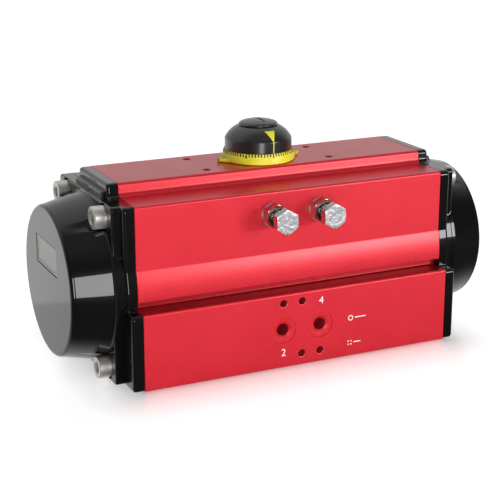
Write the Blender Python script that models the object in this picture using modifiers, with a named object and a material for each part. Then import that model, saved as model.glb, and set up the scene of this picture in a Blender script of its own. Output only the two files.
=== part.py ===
"""Rack-and-pinion rotary pneumatic actuator, quarter turn, spring return.

The origin is on the pinion's axis, in the valve-mounting face. +X runs along the cylinder bore,
-Y faces the air ports and +Z points up the shaft. Dimensions are in millimetres, and every
builder turns them into metres with MM.
"""

import math

import bmesh
import bpy
from mathutils import Matrix

MM = 0.001
GAP = 0.3                     # clearance between pieces that rest on each other
RUN = 0.2                     # radial clearance of a running fit

# Cylinder body: an extruded profile along X.
BODY_HALF = 97.5              # half length of the body
BORE_Z = 52.4                 # height of the bore's axis above the bottom face
BORE_R = 42.0
RAIL_TOP = 111.2              # top face, which carries the upper interface
RAIL_HALF = 24.3
SHELF_Z = 103.5               # shoulders on both sides of the rail
RAIL_FILLET = 3.1
FRONT_Y = -49.4               # upper front face
BACK_Y = 44.0
BULGE_R = 51.6                # outer wall that follows the bore
BULGE_END_Z = 49.4            # the front bulge ends here, above the port block
BLOCK_Y = -59.4               # front face of the port block
BLOCK_TOP = 44.7
UNDERCUT_Y = -46.0            # wall between the block's top and the bulge
EDGE = 0.8                    # broken edges of the profile

# Shaft line.
TOP_HOLE_R = 14.2
BOTTOM_HOLE_R = 16.9
SPIGOT_R = 17.6
SPIGOT_DEPTH = 3.0
LOWER_JOURNAL_R = 15.0
UPPER_JOURNAL_R = 12.0
SHAFT_BOTTOM = 0.6
SHAFT_SHOULDER = 84.7
SHAFT_STEP = 116.5
SHAFT_TOP = 126.7
SHAFT_END_R = 9.5
SOCKET_WIDTH = 17.0
SOCKET_DEPTH = 19.0
SLOT_WIDTH = 4.0
SLOT_DEPTH = 4.5
GROOVE_DEPTH = 1.1
CIRCLIP_GROOVE = (114.3, 116.1)
TOP_SEAL_GROOVE = (107.3, 110.1)
BOTTOM_SEAL_GROOVE = (2.8, 5.6)
TOP_BUSH = (96.2, 105.7)
BOTTOM_BUSH = (5.8, 12.0)
THRUST_R = 18.5
CIRCLIP_R = 16.0
SEAL_WIRE = 1.1
BOTTOM_SEAL_R = 15.35
TOP_SEAL_R = 12.55

# Gear and racks.
MODULE = 2.0
TEETH = 16
PRESSURE_ANGLE = math.radians(20.0)
PITCH_R = MODULE * TEETH / 2
GEAR_TIP_R = 17.7
GEAR_ROOT_R = 13.9
GEAR_LOW = 35.7
GEAR_HIGH = 68.7
BACKLASH = 0.3                # taken from each tooth's thickness at the pitch line
RACK_TIP_Y = 14.3
RACK_ROOT_Y = 18.5
RACK_BACK_Y = 37.0
RACK_HALF_HEIGHT = 15.0
RACK_END_X = 32.5
RACK_TEETH = 7
FIRST_RACK_TOOTH = -1.5       # in pitches from the shaft's axis

# Piston heads, measured outwards from the shaft's axis.
PISTON_INNER = 34.0
PISTON_OUTER = 54.0
PISTON_R = 41.6
BAND_GROOVE = (46.5, 51.5)
BAND_GROOVE_R = 40.0
SEAL_GROOVE = (39.0, 43.2)
SEAL_GROOVE_R = 38.4
PISTON_SEAL_R = 40.15
PISTON_SEAL_WIRE = 1.5

# Return springs.
SPRING_CIRCLE_R = 24.0
SPRING_ANGLES = (90.0, 210.0, 330.0)
SPRING_WIRE_R = 1.3
SPRING_R = 8.7
SPRING_TURNS = 5
SPRING_POINTS_PER_TURN = 8
POCKET_R = 10.9
POCKET_FLOOR = 50.4

# End caps, measured outwards from the shaft's axis.
CAP_FACE = 97.8
CAP_FLANGE = 104.2            # outer side of the flange that repeats the body's profile
CAP_STEP = 109.4              # outer side of the inset flange
CAP_STEP_HALF = 45.0
CAP_RAIL_STEP = 106.8
CAP_RAIL_TOP = 106.7
CAP_END = 133.0
CAP_END_R = 44.1
CAP_BASE_R = 50.6
CAP_FLOOR = 128.0
CAP_CAVITY_R = 41.0

# Fasteners.
CAP_SCREW_Y = 32.0
CAP_SCREW_Z = (8.2, 95.4)
CAP_SCREW_SEAT = 106.2
COUNTERBORE_R = 7.75
M8_R = 3.9
M8_HEAD_R = 6.5
M8_HEAD = 8.0
M8_CLEAR_R = 4.35
M8_TAP_R = 3.4
M8_FLATS = 13.0
STOP_X = 15.0
STOP_Z = 90.2
STOP_TIP_Y = -10.3
STOP_HEAD_FACE = -70.2
STOP_HEAD = 5.3
NUT_LENGTH = 6.5
STOP_WASHER = 1.6
STOP_WASHER_R = 7.0
NUT_TURN = 25                 # degrees from a flat on top

# Stop cam.
CAM_R = 21.0
CAM_FLAT = 10.0
CAM_HUB_R = 14.7
CAM_LOW = 85.2
CAM_HIGH = 94.2
CAM_POCKET_R = 22.3
CAM_POCKET_TOP = 95.4
KEY_WIDTH = 4.0
KEY_DEPTH = 1.6

# Air connections.
PORT_X = 12.0
PORT_Z = 23.1
PORT_R = 5.7
PORT_DEPTH = 12.0
PORT_RECESS_R = 7.75
PORT_RECESS = 0.8
PORT_CHAMFER = 0.9
NAMUR_STEP = 16.0
M5_R = 2.4
M5_DEPTH = 10.0
CHANNEL_Y = -47.0
CHANNEL_Z = 32.7
CHANNEL_R = 3.0
CAP_SEAL_R = 46.0
CAP_SEAL_LOBE = 10.0
CAP_SEAL_LOBE_WIDTH = 9.0     # degrees
CAP_SEAL_WIRE = 0.8
CAP_SEAL_X = 98.6
SEAL_POINTS = 30

# Hole patterns of the two interfaces.
TOP_PATTERN = (40.0, 15.0)    # half spacings of the upper M5 holes
F07_HALF = 24.75
F05_HALF = 17.7
M6_TAP_R = 2.6

# Position indicator.
RING_BOTTOM = 111.5
RING_TOP = 117.6
RING_BASE_R = 21.9
RING_TOP_R = 20.6
RING_INNER_R = 19.1
EAR_TIP = 26.2
EAR_HALF = 6.8
EAR_HEIGHT = 2.2
DOME_R = 20.0
SKIRT_R = 18.6                # the dome's skirt runs inside the scale ring
SKIRT_INNER_R = 17.2
SKIRT_BOTTOM = 115.2
DOME_SHOULDER = 125.4
DOME_TOP = 131.4
DOME_FLAT_R = 12.2
HUB_R = 12.6
HUB_BOTTOM = 117.2
DISC_R = 11.65
DISC_TOP = 135.0
POINTER_LINE_HALF = 0.42
POINTER_FLAG_HALF = 3.4
INDICATOR_SCREW_R = 2.5
INDICATOR_HEAD_R = 5.3

# Blank rating plate on each end face.
PLATE_SIZE = (38.0, 17.0)
PLATE_Z = 67.7
PLATE_RECESS = 1.0

TAU = 2 * math.pi
ALONG_X = (0.0, math.pi / 2, 0.0)
ALONG_NEG_X = (0.0, -math.pi / 2, 0.0)
ALONG_NEG_Y = (math.pi / 2, 0.0, 0.0)
UPWARDS = (0.0, 0.0, 0.0)
SECTION_X = (math.pi / 2, 0.0, math.pi / 2)
SMOOTH_ANGLE = math.radians(35.0)
WELD = 0.000002               # metres


# ---------------------------------------------------------------- scene and materials

def clear_scene():
    for obj in list(bpy.data.objects):
        bpy.data.objects.remove(obj, do_unlink=True)


def new_collection(name):
    collection = bpy.data.collections.new(name)
    bpy.context.scene.collection.children.link(collection)
    return collection


def new_material(name, colour, roughness, metallic):
    material = bpy.data.materials.new(name)
    material.use_nodes = True
    shader = material.node_tree.nodes["Principled BSDF"]
    shader.inputs["Base Color"].default_value = (*colour, 1.0)
    shader.inputs["Roughness"].default_value = roughness
    shader.inputs["Metallic"].default_value = metallic
    return material


def make_empty(name, location):
    empty = bpy.data.objects.new(name, None)
    empty.location = [value * MM for value in location]
    parts.objects.link(empty)
    return empty


# ---------------------------------------------------------------- shape builders

def place(obj, location=(0, 0, 0), rotation=UPWARDS):
    obj.location = [value * MM for value in location]
    obj.rotation_euler = rotation
    return obj


def mesh_object(name, mesh):
    obj = bpy.data.objects.new(name, mesh)
    parts.objects.link(obj)
    return obj


def bake(obj):
    """Replaces the object's mesh by its evaluated one, with the modifiers applied."""
    graph = bpy.context.evaluated_depsgraph_get()
    mesh = bpy.data.meshes.new_from_object(obj.evaluated_get(graph))
    obj.modifiers.clear()
    obj.data = mesh
    return obj


def turned(name, profile, segments, closed):
    """Spins a profile of (radius, height) points about Z.

    The points run down the outer side. A closed profile makes a ring.
    """
    mesh = bpy.data.meshes.new(name)
    corners = [(radius * MM, 0.0, height * MM) for radius, height in profile]
    edges = [(index, index + 1) for index in range(len(corners) - 1)]
    if closed:
        edges.append((len(corners) - 1, 0))
    mesh.from_pydata(corners, edges, [])
    obj = mesh_object(name, mesh)
    screw = obj.modifiers.new("Spin", "SCREW")
    screw.steps = segments
    screw.render_steps = segments
    screw.use_merge_vertices = True
    screw.merge_threshold = 0.00001
    return bake(obj)


def solid_of_revolution(name, profile, segments=32):
    return turned(name, profile, segments, False)


def ring(name, inner, outer, low, high, segments=24):
    profile = [(outer, high), (outer, low), (inner, low), (inner, high)]
    return turned(name, profile, segments, True)


def cylinder(name, radius, low, high, segments=16):
    profile = [(0, high), (radius, high), (radius, low), (0, low)]
    return turned(name, profile, segments, False)


def mesh_from_curve(curve_object, name):
    """Turns a curve into a closed mesh object at the same place, with its transform applied."""
    bpy.context.view_layer.update()
    graph = bpy.context.evaluated_depsgraph_get()
    mesh = bpy.data.meshes.new_from_object(curve_object.evaluated_get(graph))
    shape = bmesh.new()
    shape.from_mesh(mesh)
    bmesh.ops.remove_doubles(shape, verts=shape.verts, dist=0.000001)
    bmesh.ops.recalc_face_normals(shape, faces=shape.faces)
    shape.to_mesh(mesh)
    shape.free()
    obj = mesh_object(name, mesh)
    obj.matrix_world = curve_object.matrix_world
    mesh.transform(obj.matrix_world)
    obj.matrix_world = Matrix.Identity(4)
    bpy.data.objects.remove(curve_object, do_unlink=True)
    return obj


def prism(name, outline, low, high, rotation=UPWARDS):
    """Extrudes a closed flat outline from low to high along the rotated Z."""
    curve = bpy.data.curves.new(name, "CURVE")
    curve.dimensions = "2D"
    curve.fill_mode = "BOTH"
    curve.extrude = (high - low) / 2 * MM
    spline = curve.splines.new("POLY")
    spline.points.add(len(outline) - 1)
    spline.use_cyclic_u = True
    for point, (across, up) in zip(spline.points, outline):
        point.co = (across * MM, up * MM, 0.0, 1.0)
    obj = bpy.data.objects.new(name + "_curve", curve)
    parts.objects.link(obj)
    obj.rotation_euler = rotation
    middle = (high + low) / 2 * MM
    obj.location = obj.rotation_euler.to_matrix().col[2] * middle
    return mesh_from_curve(obj, name)


def box(name, low, high):
    shape = bmesh.new()
    bmesh.ops.create_cube(shape, size=1.0)
    for vertex in shape.verts:
        for axis in range(3):
            middle = (low[axis] + high[axis]) / 2
            size = high[axis] - low[axis]
            vertex.co[axis] = (middle + vertex.co[axis] * size) * MM
    mesh = bpy.data.meshes.new(name)
    shape.to_mesh(mesh)
    shape.free()
    return mesh_object(name, mesh)


def wire(name, path, radius, cyclic, rounds=0):
    """A round wire along the points of a path, with filled ends unless it is cyclic."""
    curve = bpy.data.curves.new(name, "CURVE")
    curve.dimensions = "3D"
    curve.bevel_depth = radius * MM
    curve.bevel_resolution = rounds
    curve.use_fill_caps = not cyclic
    spline = curve.splines.new("POLY")
    spline.points.add(len(path) - 1)
    spline.use_cyclic_u = cyclic
    for point, corner in zip(spline.points, path):
        point.co = (*[value * MM for value in corner], 1.0)
    obj = bpy.data.objects.new(name + "_curve", curve)
    parts.objects.link(obj)
    return mesh_from_curve(obj, name)


def o_ring(name, radius, wire_radius, points=24):
    path = []
    for index in range(points):
        angle = TAU * index / points
        path.append((radius * math.cos(angle), radius * math.sin(angle), 0.0))
    return wire(name, path, wire_radius, True)


def arc(centre, radius, start, end, count):
    """Points on an arc, with its angles in degrees and both ends included."""
    points = []
    for index in range(count):
        angle = math.radians(start + (end - start) * index / (count - 1))
        across = centre[0] + radius * math.cos(angle)
        up = centre[1] + radius * math.sin(angle)
        points.append((across, up))
    return points


def hexagon(flats, turn=0.0):
    corner_radius = flats / 2 / math.cos(math.pi / 6)
    return arc((0, 0), corner_radius, turn, turn + 300.0, 6)


def weld(mesh):
    """Joins points closer than two micrometres, which a Boolean leaves along its seams."""
    shape = bmesh.new()
    shape.from_mesh(mesh)
    bmesh.ops.remove_doubles(shape, verts=shape.verts, dist=WELD)
    bmesh.ops.dissolve_degenerate(shape, edges=shape.edges, dist=WELD)
    shape.to_mesh(mesh)
    shape.free()


def combine(target, tool, operation, solver="EXACT"):
    """Applies a Boolean to the target and files the tool away as a wire cutter."""
    modifier = target.modifiers.new(tool.name, "BOOLEAN")
    modifier.operation = operation
    modifier.object = tool
    modifier.solver = solver
    parts.objects.unlink(tool)
    cutters.objects.link(tool)
    tool.hide_render = True
    tool.display_type = "WIRE"
    bpy.context.view_layer.update()
    bake(target)
    weld(target.data)


def cut(target, *tools):
    for tool in tools:
        combine(target, tool, "DIFFERENCE")


def join(target, *tools):
    for tool in tools:
        combine(target, tool, "UNION")


def finish(obj, material, parent=None):
    """Shades the rounds smooth and gives the piece its material and its joint's empty."""
    obj.data.shade_smooth()
    obj.data.set_sharp_from_angle(angle=SMOOTH_ANGLE)
    obj.data.materials.clear()
    obj.data.materials.append(material)
    if parent is not None:
        attach(obj, parent)
    return obj


def attach(obj, parent):
    """Parents the piece to the empty on its joint's axis, and leaves it where it is."""
    bpy.context.view_layer.update()
    obj.parent = parent
    obj.matrix_parent_inverse = parent.matrix_world.inverted()


def turned_over(obj, name, parent=None):
    """A second piece that shares the mesh, half a turn round the shaft's axis."""
    copy = bpy.data.objects.new(name, obj.data)
    parts.objects.link(copy)
    bpy.context.view_layer.update()
    copy.matrix_world = Matrix.Rotation(math.pi, 4, "Z") @ obj.matrix_world
    if parent is not None:
        attach(copy, parent)
    return copy


# ---------------------------------------------------------------- cylinder body

def body_outline():
    """The extruded profile in (y, z), from the port block's foot up and round to the back."""
    bulge_top = math.degrees(math.acos(-FRONT_Y / BULGE_R))
    bulge_end = math.degrees(math.asin((BORE_Z - BULGE_END_Z) / BULGE_R))
    back_angle = math.degrees(math.acos(BACK_Y / BULGE_R))
    fillet_out = RAIL_HALF + RAIL_FILLET
    fillet_up = SHELF_Z + RAIL_FILLET
    points = [(BLOCK_Y + EDGE, 0.0), (BLOCK_Y, EDGE)]
    points += [(BLOCK_Y, BLOCK_TOP - EDGE), (BLOCK_Y + EDGE, BLOCK_TOP)]
    points += [(UNDERCUT_Y - 1.0, BLOCK_TOP), (UNDERCUT_Y, BLOCK_TOP + 1.0)]
    points += [(UNDERCUT_Y, BULGE_END_Z - 1.0)]
    points += arc((0, BORE_Z), BULGE_R, 180 + bulge_end, 180 - bulge_top, 4)
    points += [(FRONT_Y, SHELF_Z - EDGE), (FRONT_Y + EDGE, SHELF_Z)]
    points += arc((-fillet_out, fillet_up), RAIL_FILLET, -90, 0, 3)
    points += [(-RAIL_HALF, RAIL_TOP - EDGE), (-RAIL_HALF + EDGE, RAIL_TOP)]
    points += [(RAIL_HALF - EDGE, RAIL_TOP), (RAIL_HALF, RAIL_TOP - EDGE)]
    points += arc((fillet_out, fillet_up), RAIL_FILLET, 180, 270, 3)
    points += [(BACK_Y - EDGE, SHELF_Z), (BACK_Y, SHELF_Z - EDGE)]
    points += arc((0, BORE_Z), BULGE_R, back_angle, -back_angle, 7)
    points += [(BACK_Y, EDGE), (BACK_Y - EDGE, 0.0)]
    return points


def drill(radius, location, rotation, depth, segments=8, beyond=1.0):
    """A drill that starts beyond the surface and ends at its depth along the rotated -Z."""
    tool = cylinder("drill", radius, -depth, beyond, segments)
    return place(tool, location, rotation)


def drill_shaft_line(body):
    top = drill(TOP_HOLE_R, (0, 0, RAIL_TOP), UPWARDS, 40, 32)
    bottom = drill(BOTTOM_HOLE_R, (0, 0, 20), UPWARDS, 21, 32)
    spigot = drill(SPIGOT_R, (0, 0, SPIGOT_DEPTH - 1), UPWARDS, SPIGOT_DEPTH, 32)
    pocket = drill(CAM_POCKET_R, (0, 0, CAM_POCKET_TOP - 1), UPWARDS, 14, 32)
    cut(body, top, bottom, spigot, pocket)


def drill_ports(body):
    for side in (-1, 1):
        mouth = (side * PORT_X, BLOCK_Y, PORT_Z)
        cut(body, drill(PORT_RECESS_R, mouth, ALONG_NEG_Y, PORT_RECESS, 20))
        bore = [(0, 1.0), (PORT_R + PORT_CHAMFER + 1.0 + PORT_RECESS, 1.0)]
        bore += [(PORT_R, -PORT_RECESS - PORT_CHAMFER), (PORT_R, -PORT_DEPTH), (0, -PORT_DEPTH)]
        tapped = solid_of_revolution("tapped_bore", bore, 20)
        cut(body, place(tapped, mouth, ALONG_NEG_Y))
    inlet_a = drill(3.5, (-PORT_X, BLOCK_Y + PORT_DEPTH, PORT_Z), ALONG_NEG_Y, 22)
    riser_b = drill(2.2, (PORT_X, CHANNEL_Y - 2.5, CHANNEL_Z), UPWARDS, CHANNEL_Z - PORT_Z, 8, 0)
    channel = drill(CHANNEL_R, (BODY_HALF, CHANNEL_Y, CHANNEL_Z), ALONG_X, 2 * BODY_HALF + 1)
    cut(body, inlet_a, channel, riser_b)


def drill_hole_patterns(body):
    for step, rise in ((-1, 1), (0, 1), (0, -1), (1, -1)):
        centre = (step * PORT_X, BLOCK_Y, PORT_Z + rise * NAMUR_STEP)
        cut(body, drill(M5_R, centre, ALONG_NEG_Y, M5_DEPTH))
    for side in (-1, 1):
        stop_mouth = (side * STOP_X, FRONT_Y, STOP_Z)
        cut(body, drill(M8_R + RUN + 0.1, stop_mouth, ALONG_NEG_Y, STOP_TIP_Y - FRONT_Y + 1.5, 12))
        for depth_side in (-1, 1):
            top = (side * TOP_PATTERN[0], depth_side * TOP_PATTERN[1], RAIL_TOP)
            cut(body, drill(M5_R, top, UPWARDS, M5_DEPTH))
            wide = (side * F07_HALF, depth_side * F07_HALF, 0)
            narrow = (side * F05_HALF, depth_side * F05_HALF, 0)
            cut(body, drill(M8_TAP_R, wide, (math.pi, 0, 0), 10.5, 12))
            cut(body, drill(M6_TAP_R, narrow, (math.pi, 0, 0), 7.5))


def drill_cap_screw_holes(body):
    for side, rotation in ((-1, ALONG_NEG_X), (1, ALONG_X)):
        for depth_side in (-1, 1):
            for height in CAP_SCREW_Z:
                mouth = (side * BODY_HALF, depth_side * CAP_SCREW_Y, height)
                cut(body, drill(M8_CLEAR_R, mouth, rotation, 24.0, 10))


def make_body():
    body = prism("cylinder_body", body_outline(), -BODY_HALF, BODY_HALF, SECTION_X)
    bore = cylinder("bore", BORE_R, -BODY_HALF - 1, BODY_HALF + 1, 48)
    cut(body, place(bore, (0, 0, BORE_Z), ALONG_X))
    drill_shaft_line(body)
    drill_ports(body)
    drill_hole_patterns(body)
    drill_cap_screw_holes(body)
    return finish(body, red_anodised)


# ---------------------------------------------------------------- end caps

def cap_step_outline():
    """The inset flange: a circle round the bore with the corners of a rectangle."""
    corner = math.degrees(math.acos(CAP_STEP_HALF / CAP_BASE_R))
    top = SHELF_Z - 0.3
    points = [(-CAP_STEP_HALF + 2, 0.3), (-CAP_STEP_HALF, 2.3)]
    points += arc((0, BORE_Z), CAP_BASE_R, 180 + corner, 180 - corner, 7)
    points += [(-CAP_STEP_HALF, top - 2), (-CAP_STEP_HALF + 2, top)]
    points += [(CAP_STEP_HALF - 2, top), (CAP_STEP_HALF, top - 2)]
    points += arc((0, BORE_Z), CAP_BASE_R, corner, -corner, 7)
    points += [(CAP_STEP_HALF, 2.3), (CAP_STEP_HALF - 2, 0.3)]
    return points


def seal_path(side):
    """A circle round the bore that swells to take in the air channel's mouth."""
    lobe = math.atan2(CHANNEL_Z - BORE_Z, CHANNEL_Y) % TAU
    width = math.radians(CAP_SEAL_LOBE_WIDTH)
    path = []
    for index in range(SEAL_POINTS):
        angle = TAU * index / SEAL_POINTS
        swell = CAP_SEAL_LOBE * math.exp(-((angle - lobe) / width) ** 2)
        radius = CAP_SEAL_R + swell
        across = radius * math.cos(angle)
        path.append((side * CAP_SEAL_X, across, BORE_Z + radius * math.sin(angle)))
    return path


def flange(name, outline, side, near, far):
    low, high = sorted((side * near, side * far))
    return prism(name, outline, low, high, SECTION_X)


def cap_cone_profile():
    profile = [(0, CAP_END), (CAP_END_R - 2.8, CAP_END), (CAP_END_R - 1.3, CAP_END - 0.4)]
    profile += [(CAP_END_R - 0.4, CAP_END - 1.3), (CAP_END_R, CAP_END - 2.8)]
    return profile + [(CAP_BASE_R, CAP_STEP), (CAP_BASE_R, 100), (0, 100)]


def cap_cavity_profile():
    inner_r = CAP_CAVITY_R - 1.5
    profile = [(0, CAP_FLOOR), (inner_r - 1.5, CAP_FLOOR), (inner_r, CAP_FLOOR - 1.5)]
    return profile + [(CAP_CAVITY_R, CAP_FACE - 1), (0, CAP_FACE - 1)]


def make_end_cap(name, side):
    outwards = ALONG_X if side > 0 else ALONG_NEG_X
    centre = (0, 0, BORE_Z)
    cap = flange(name, body_outline(), side, CAP_FACE, CAP_FLANGE)
    step = flange("step", cap_step_outline(), side, CAP_FACE + 2, CAP_STEP)
    rail_half = RAIL_HALF - 1.5
    rail = [(-rail_half, 90), (rail_half, 90), (rail_half, CAP_RAIL_TOP), (-rail_half, CAP_RAIL_TOP)]
    rail_step = flange("rail_step", rail, side, CAP_FACE + 3, CAP_RAIL_STEP)
    cone = place(solid_of_revolution("cone", cap_cone_profile(), 32), centre, outwards)
    join(cap, step, rail_step, cone)
    cut(cap, place(solid_of_revolution("cavity", cap_cavity_profile(), 24), centre, outwards))
    for depth_side in (-1, 1):
        for height in CAP_SCREW_Z:
            seat = (side * CAP_SCREW_SEAT, depth_side * CAP_SCREW_Y, height)
            cut(cap, drill(COUNTERBORE_R, seat, outwards, 0, 16, 30))
            cut(cap, drill(M8_CLEAR_R, seat, outwards, 10, 10))
    cut(cap, wire("seal_groove", seal_path(side), CAP_SEAL_WIRE + 0.35, True))
    cut(cap, channel_groove(side), plate_recess(side))
    return finish(cap, black_gloss)


def channel_groove(side):
    """A slot in the cap's face that joins the air channel to the cap's cavity."""
    low, high = sorted((side * (CAP_FACE - 1), side * (CAP_FACE + 3.2)))
    middle = Matrix.Rotation(math.atan2(BORE_Z - CHANNEL_Z, -CHANNEL_Y), 3, "X")
    slot = box("slot", (low, -52.0, -2.5), (high, -38.0, 2.5))
    slot.rotation_euler = middle.to_euler()
    slot.location = (0, 0, BORE_Z * MM)
    return slot


def plate_recess(side):
    half_width = PLATE_SIZE[0] / 2
    half_height = PLATE_SIZE[1] / 2
    low, high = sorted((side * (CAP_END - PLATE_RECESS), side * (CAP_END + 1)))
    return box("recess", (low, -half_width, PLATE_Z - half_height),
               (high, half_width, PLATE_Z + half_height))


def make_rating_plate(name, side):
    half_width = PLATE_SIZE[0] / 2 - 0.4
    half_height = PLATE_SIZE[1] / 2 - 0.4
    low, high = sorted((side * (CAP_END - 0.7), side * (CAP_END - 0.1)))
    plate = box(name, (low, -half_width, PLATE_Z - half_height),
                (high, half_width, PLATE_Z + half_height))
    return finish(plate, stainless)


def make_cap_seal(name, side):
    seal = wire(name, seal_path(side), CAP_SEAL_WIRE, True)
    return finish(seal, rubber)


# ---------------------------------------------------------------- fasteners

def make_socket_screw(name, location, rotation):
    """An M8 socket head screw whose origin is under its head."""
    profile = [(0, M8_HEAD), (M8_HEAD_R, M8_HEAD), (M8_HEAD_R, 0), (M8_R, 0), (M8_R, -30), (0, -30)]
    screw = solid_of_revolution(name, profile, 14)
    cut(screw, prism("socket", hexagon(6.0), M8_HEAD - 4, M8_HEAD + 1))
    finish(screw, stainless)
    return place(screw, location, rotation)


def make_spring_washer(name, location, rotation):
    washer = ring(name, M8_R + 0.3, 6.2, 0, 1.7, 12)
    cut(washer, box("split", (3, -0.6, -1), (8, 0.6, 3)))
    finish(washer, stainless)
    return place(washer, location, rotation)


def make_cap_fasteners(side_name, side):
    outwards = ALONG_X if side > 0 else ALONG_NEG_X
    corners = {"front_bottom": (-1, 0), "front_top": (-1, 1),
               "back_bottom": (1, 0), "back_top": (1, 1)}
    for corner, (depth_side, level) in corners.items():
        across = depth_side * CAP_SCREW_Y
        height = CAP_SCREW_Z[level]
        label = side_name + "_" + corner
        seat = (side * (CAP_SCREW_SEAT + 2.0), across, height)
        make_socket_screw("cap_screw_" + label, seat, outwards)
        washer_seat = (side * (CAP_SCREW_SEAT + 0.15), across, height)
        make_spring_washer("spring_washer_" + label, washer_seat, outwards)


def make_stop(side_name, side):
    """A stop bolt with its lock nut and washer, on an axis through the front wall."""
    centre = (side * STOP_X, 0, STOP_Z)
    axis = make_empty("stop_axis_" + side_name, (side * STOP_X, STOP_TIP_Y, STOP_Z))
    head_back = -STOP_HEAD_FACE - STOP_HEAD
    bolt = prism("stop_bolt_" + side_name, hexagon(M8_FLATS, 30), head_back, -STOP_HEAD_FACE)
    join(bolt, cylinder("shank", M8_R, -STOP_TIP_Y, head_back + 1, 12))
    finish(bolt, stainless)
    attach(place(bolt, centre, ALONG_NEG_Y), axis)
    washer_back = -FRONT_Y + 0.15
    washer = ring("stop_washer_" + side_name, M8_R + 0.3, STOP_WASHER_R, washer_back,
                  washer_back + STOP_WASHER, 14)
    place(finish(washer, stainless), centre, ALONG_NEG_Y)
    nut_back = washer_back + STOP_WASHER + 0.15
    nut = prism("lock_nut_" + side_name, hexagon(M8_FLATS, NUT_TURN), nut_back, nut_back + NUT_LENGTH)
    cut(nut, cylinder("thread", M8_R + RUN + 0.1, 40, 70, 12))
    place(finish(nut, stainless), centre, ALONG_NEG_Y)


# ---------------------------------------------------------------- shaft

def involute_flank(count=3):
    """Points (radius, half angle) of one tooth flank, from the base circle to the tip."""
    base_r = PITCH_R * math.cos(PRESSURE_ANGLE)
    tooth = math.pi * MODULE - 2 * BACKLASH
    pitch_half = tooth / 2 / (2 * PITCH_R)
    involute_at_pitch = math.tan(PRESSURE_ANGLE) - PRESSURE_ANGLE
    flank = []
    for index in range(count):
        radius = base_r + 0.05 + (GEAR_TIP_R - base_r - 0.05) * index / (count - 1)
        pressure = math.acos(base_r / radius)
        involute = math.tan(pressure) - pressure
        flank.append((radius, pitch_half + involute_at_pitch - involute))
    return flank


def gear_outline():
    """Sixteen involute teeth, one of them centred on +Y."""
    flank = involute_flank()
    root_half = flank[0][1] + 0.02
    tooth = [(GEAR_ROOT_R, -root_half)]
    tooth += [(radius, -half) for radius, half in flank]
    tooth += [(radius, half) for radius, half in reversed(flank)]
    tooth.append((GEAR_ROOT_R, root_half))
    points = []
    for index in range(TEETH):
        centre = math.pi / 2 + TAU * index / TEETH
        for radius, offset in tooth:
            angle = centre + offset
            points.append((radius * math.cos(angle), radius * math.sin(angle)))
    return points


def journal_profile():
    """The turned shaft in (radius, height), from its driven top down to the socket end."""
    groove_r = UPPER_JOURNAL_R - GROOVE_DEPTH
    low_groove_r = LOWER_JOURNAL_R - GROOVE_DEPTH - 0.2
    middle_r = GEAR_ROOT_R - 0.9
    profile = [(0, SHAFT_TOP), (SHAFT_END_R, SHAFT_TOP), (SHAFT_END_R, SHAFT_STEP)]
    profile.append((UPPER_JOURNAL_R, SHAFT_STEP))
    for low, high in (CIRCLIP_GROOVE, TOP_SEAL_GROOVE):
        profile += [(UPPER_JOURNAL_R, high), (groove_r, high), (groove_r, low), (UPPER_JOURNAL_R, low)]
    profile += [(UPPER_JOURNAL_R, SHAFT_SHOULDER), (middle_r, SHAFT_SHOULDER), (middle_r, GEAR_LOW)]
    low, high = BOTTOM_SEAL_GROOVE
    profile += [(LOWER_JOURNAL_R, GEAR_LOW), (LOWER_JOURNAL_R, high), (low_groove_r, high)]
    profile += [(low_groove_r, low), (LOWER_JOURNAL_R, low), (LOWER_JOURNAL_R, SHAFT_BOTTOM)]
    return profile + [(0, SHAFT_BOTTOM)]


def make_shaft():
    shaft = solid_of_revolution("pinion_shaft", journal_profile(), 32)
    join(shaft, prism("gear", gear_outline(), GEAR_LOW, GEAR_HIGH))
    half = SOCKET_WIDTH / 2
    for turn in (0.0, math.pi / 4):
        socket = box("socket", (-half, -half, SHAFT_BOTTOM - 1), (half, half, SOCKET_DEPTH))
        cut(shaft, place(socket, rotation=(0, 0, turn)))
    slot_half = SLOT_WIDTH / 2
    slot_floor = SHAFT_TOP - SLOT_DEPTH
    slot = box("slot", (-15, -slot_half, slot_floor), (15, slot_half, SHAFT_TOP + 1))
    keyway_half = KEY_WIDTH / 2
    keyway = box("keyway", (UPPER_JOURNAL_R - 2.0, -keyway_half, SHAFT_SHOULDER + 0.2),
                 (UPPER_JOURNAL_R + 1, keyway_half, CAM_HIGH + 1))
    cut(shaft, slot, keyway, cylinder("screw_hole", 3.0, 110, SHAFT_TOP + 1, 10))
    return finish(shaft, steel, shaft_axis)


def make_stop_cam():
    """A hub with a lobe whose two flats meet the stop bolts at 0 and 90 degrees."""
    lobe_reach = math.degrees(math.acos(CAM_FLAT / CAM_R))
    hub_reach = math.degrees(math.acos(CAM_FLAT / CAM_HUB_R))
    outline = arc((0, 0), CAM_R, lobe_reach - 90, 180 - lobe_reach, 16)
    outline += arc((0, 0), CAM_HUB_R, 180 - hub_reach, 270 + hub_reach, 16)
    cam = prism("stop_cam", outline, CAM_LOW, CAM_HIGH)
    cut(cam, cylinder("bore", UPPER_JOURNAL_R + RUN, CAM_LOW - 1, CAM_HIGH + 1, 24))
    key_half = KEY_WIDTH / 2 - 0.2
    key = box("key", (UPPER_JOURNAL_R - KEY_DEPTH, -key_half, CAM_LOW + 0.5),
              (UPPER_JOURNAL_R + 3, key_half, CAM_HIGH - 0.5))
    join(cam, key)
    return finish(cam, steel, shaft_axis)


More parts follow.
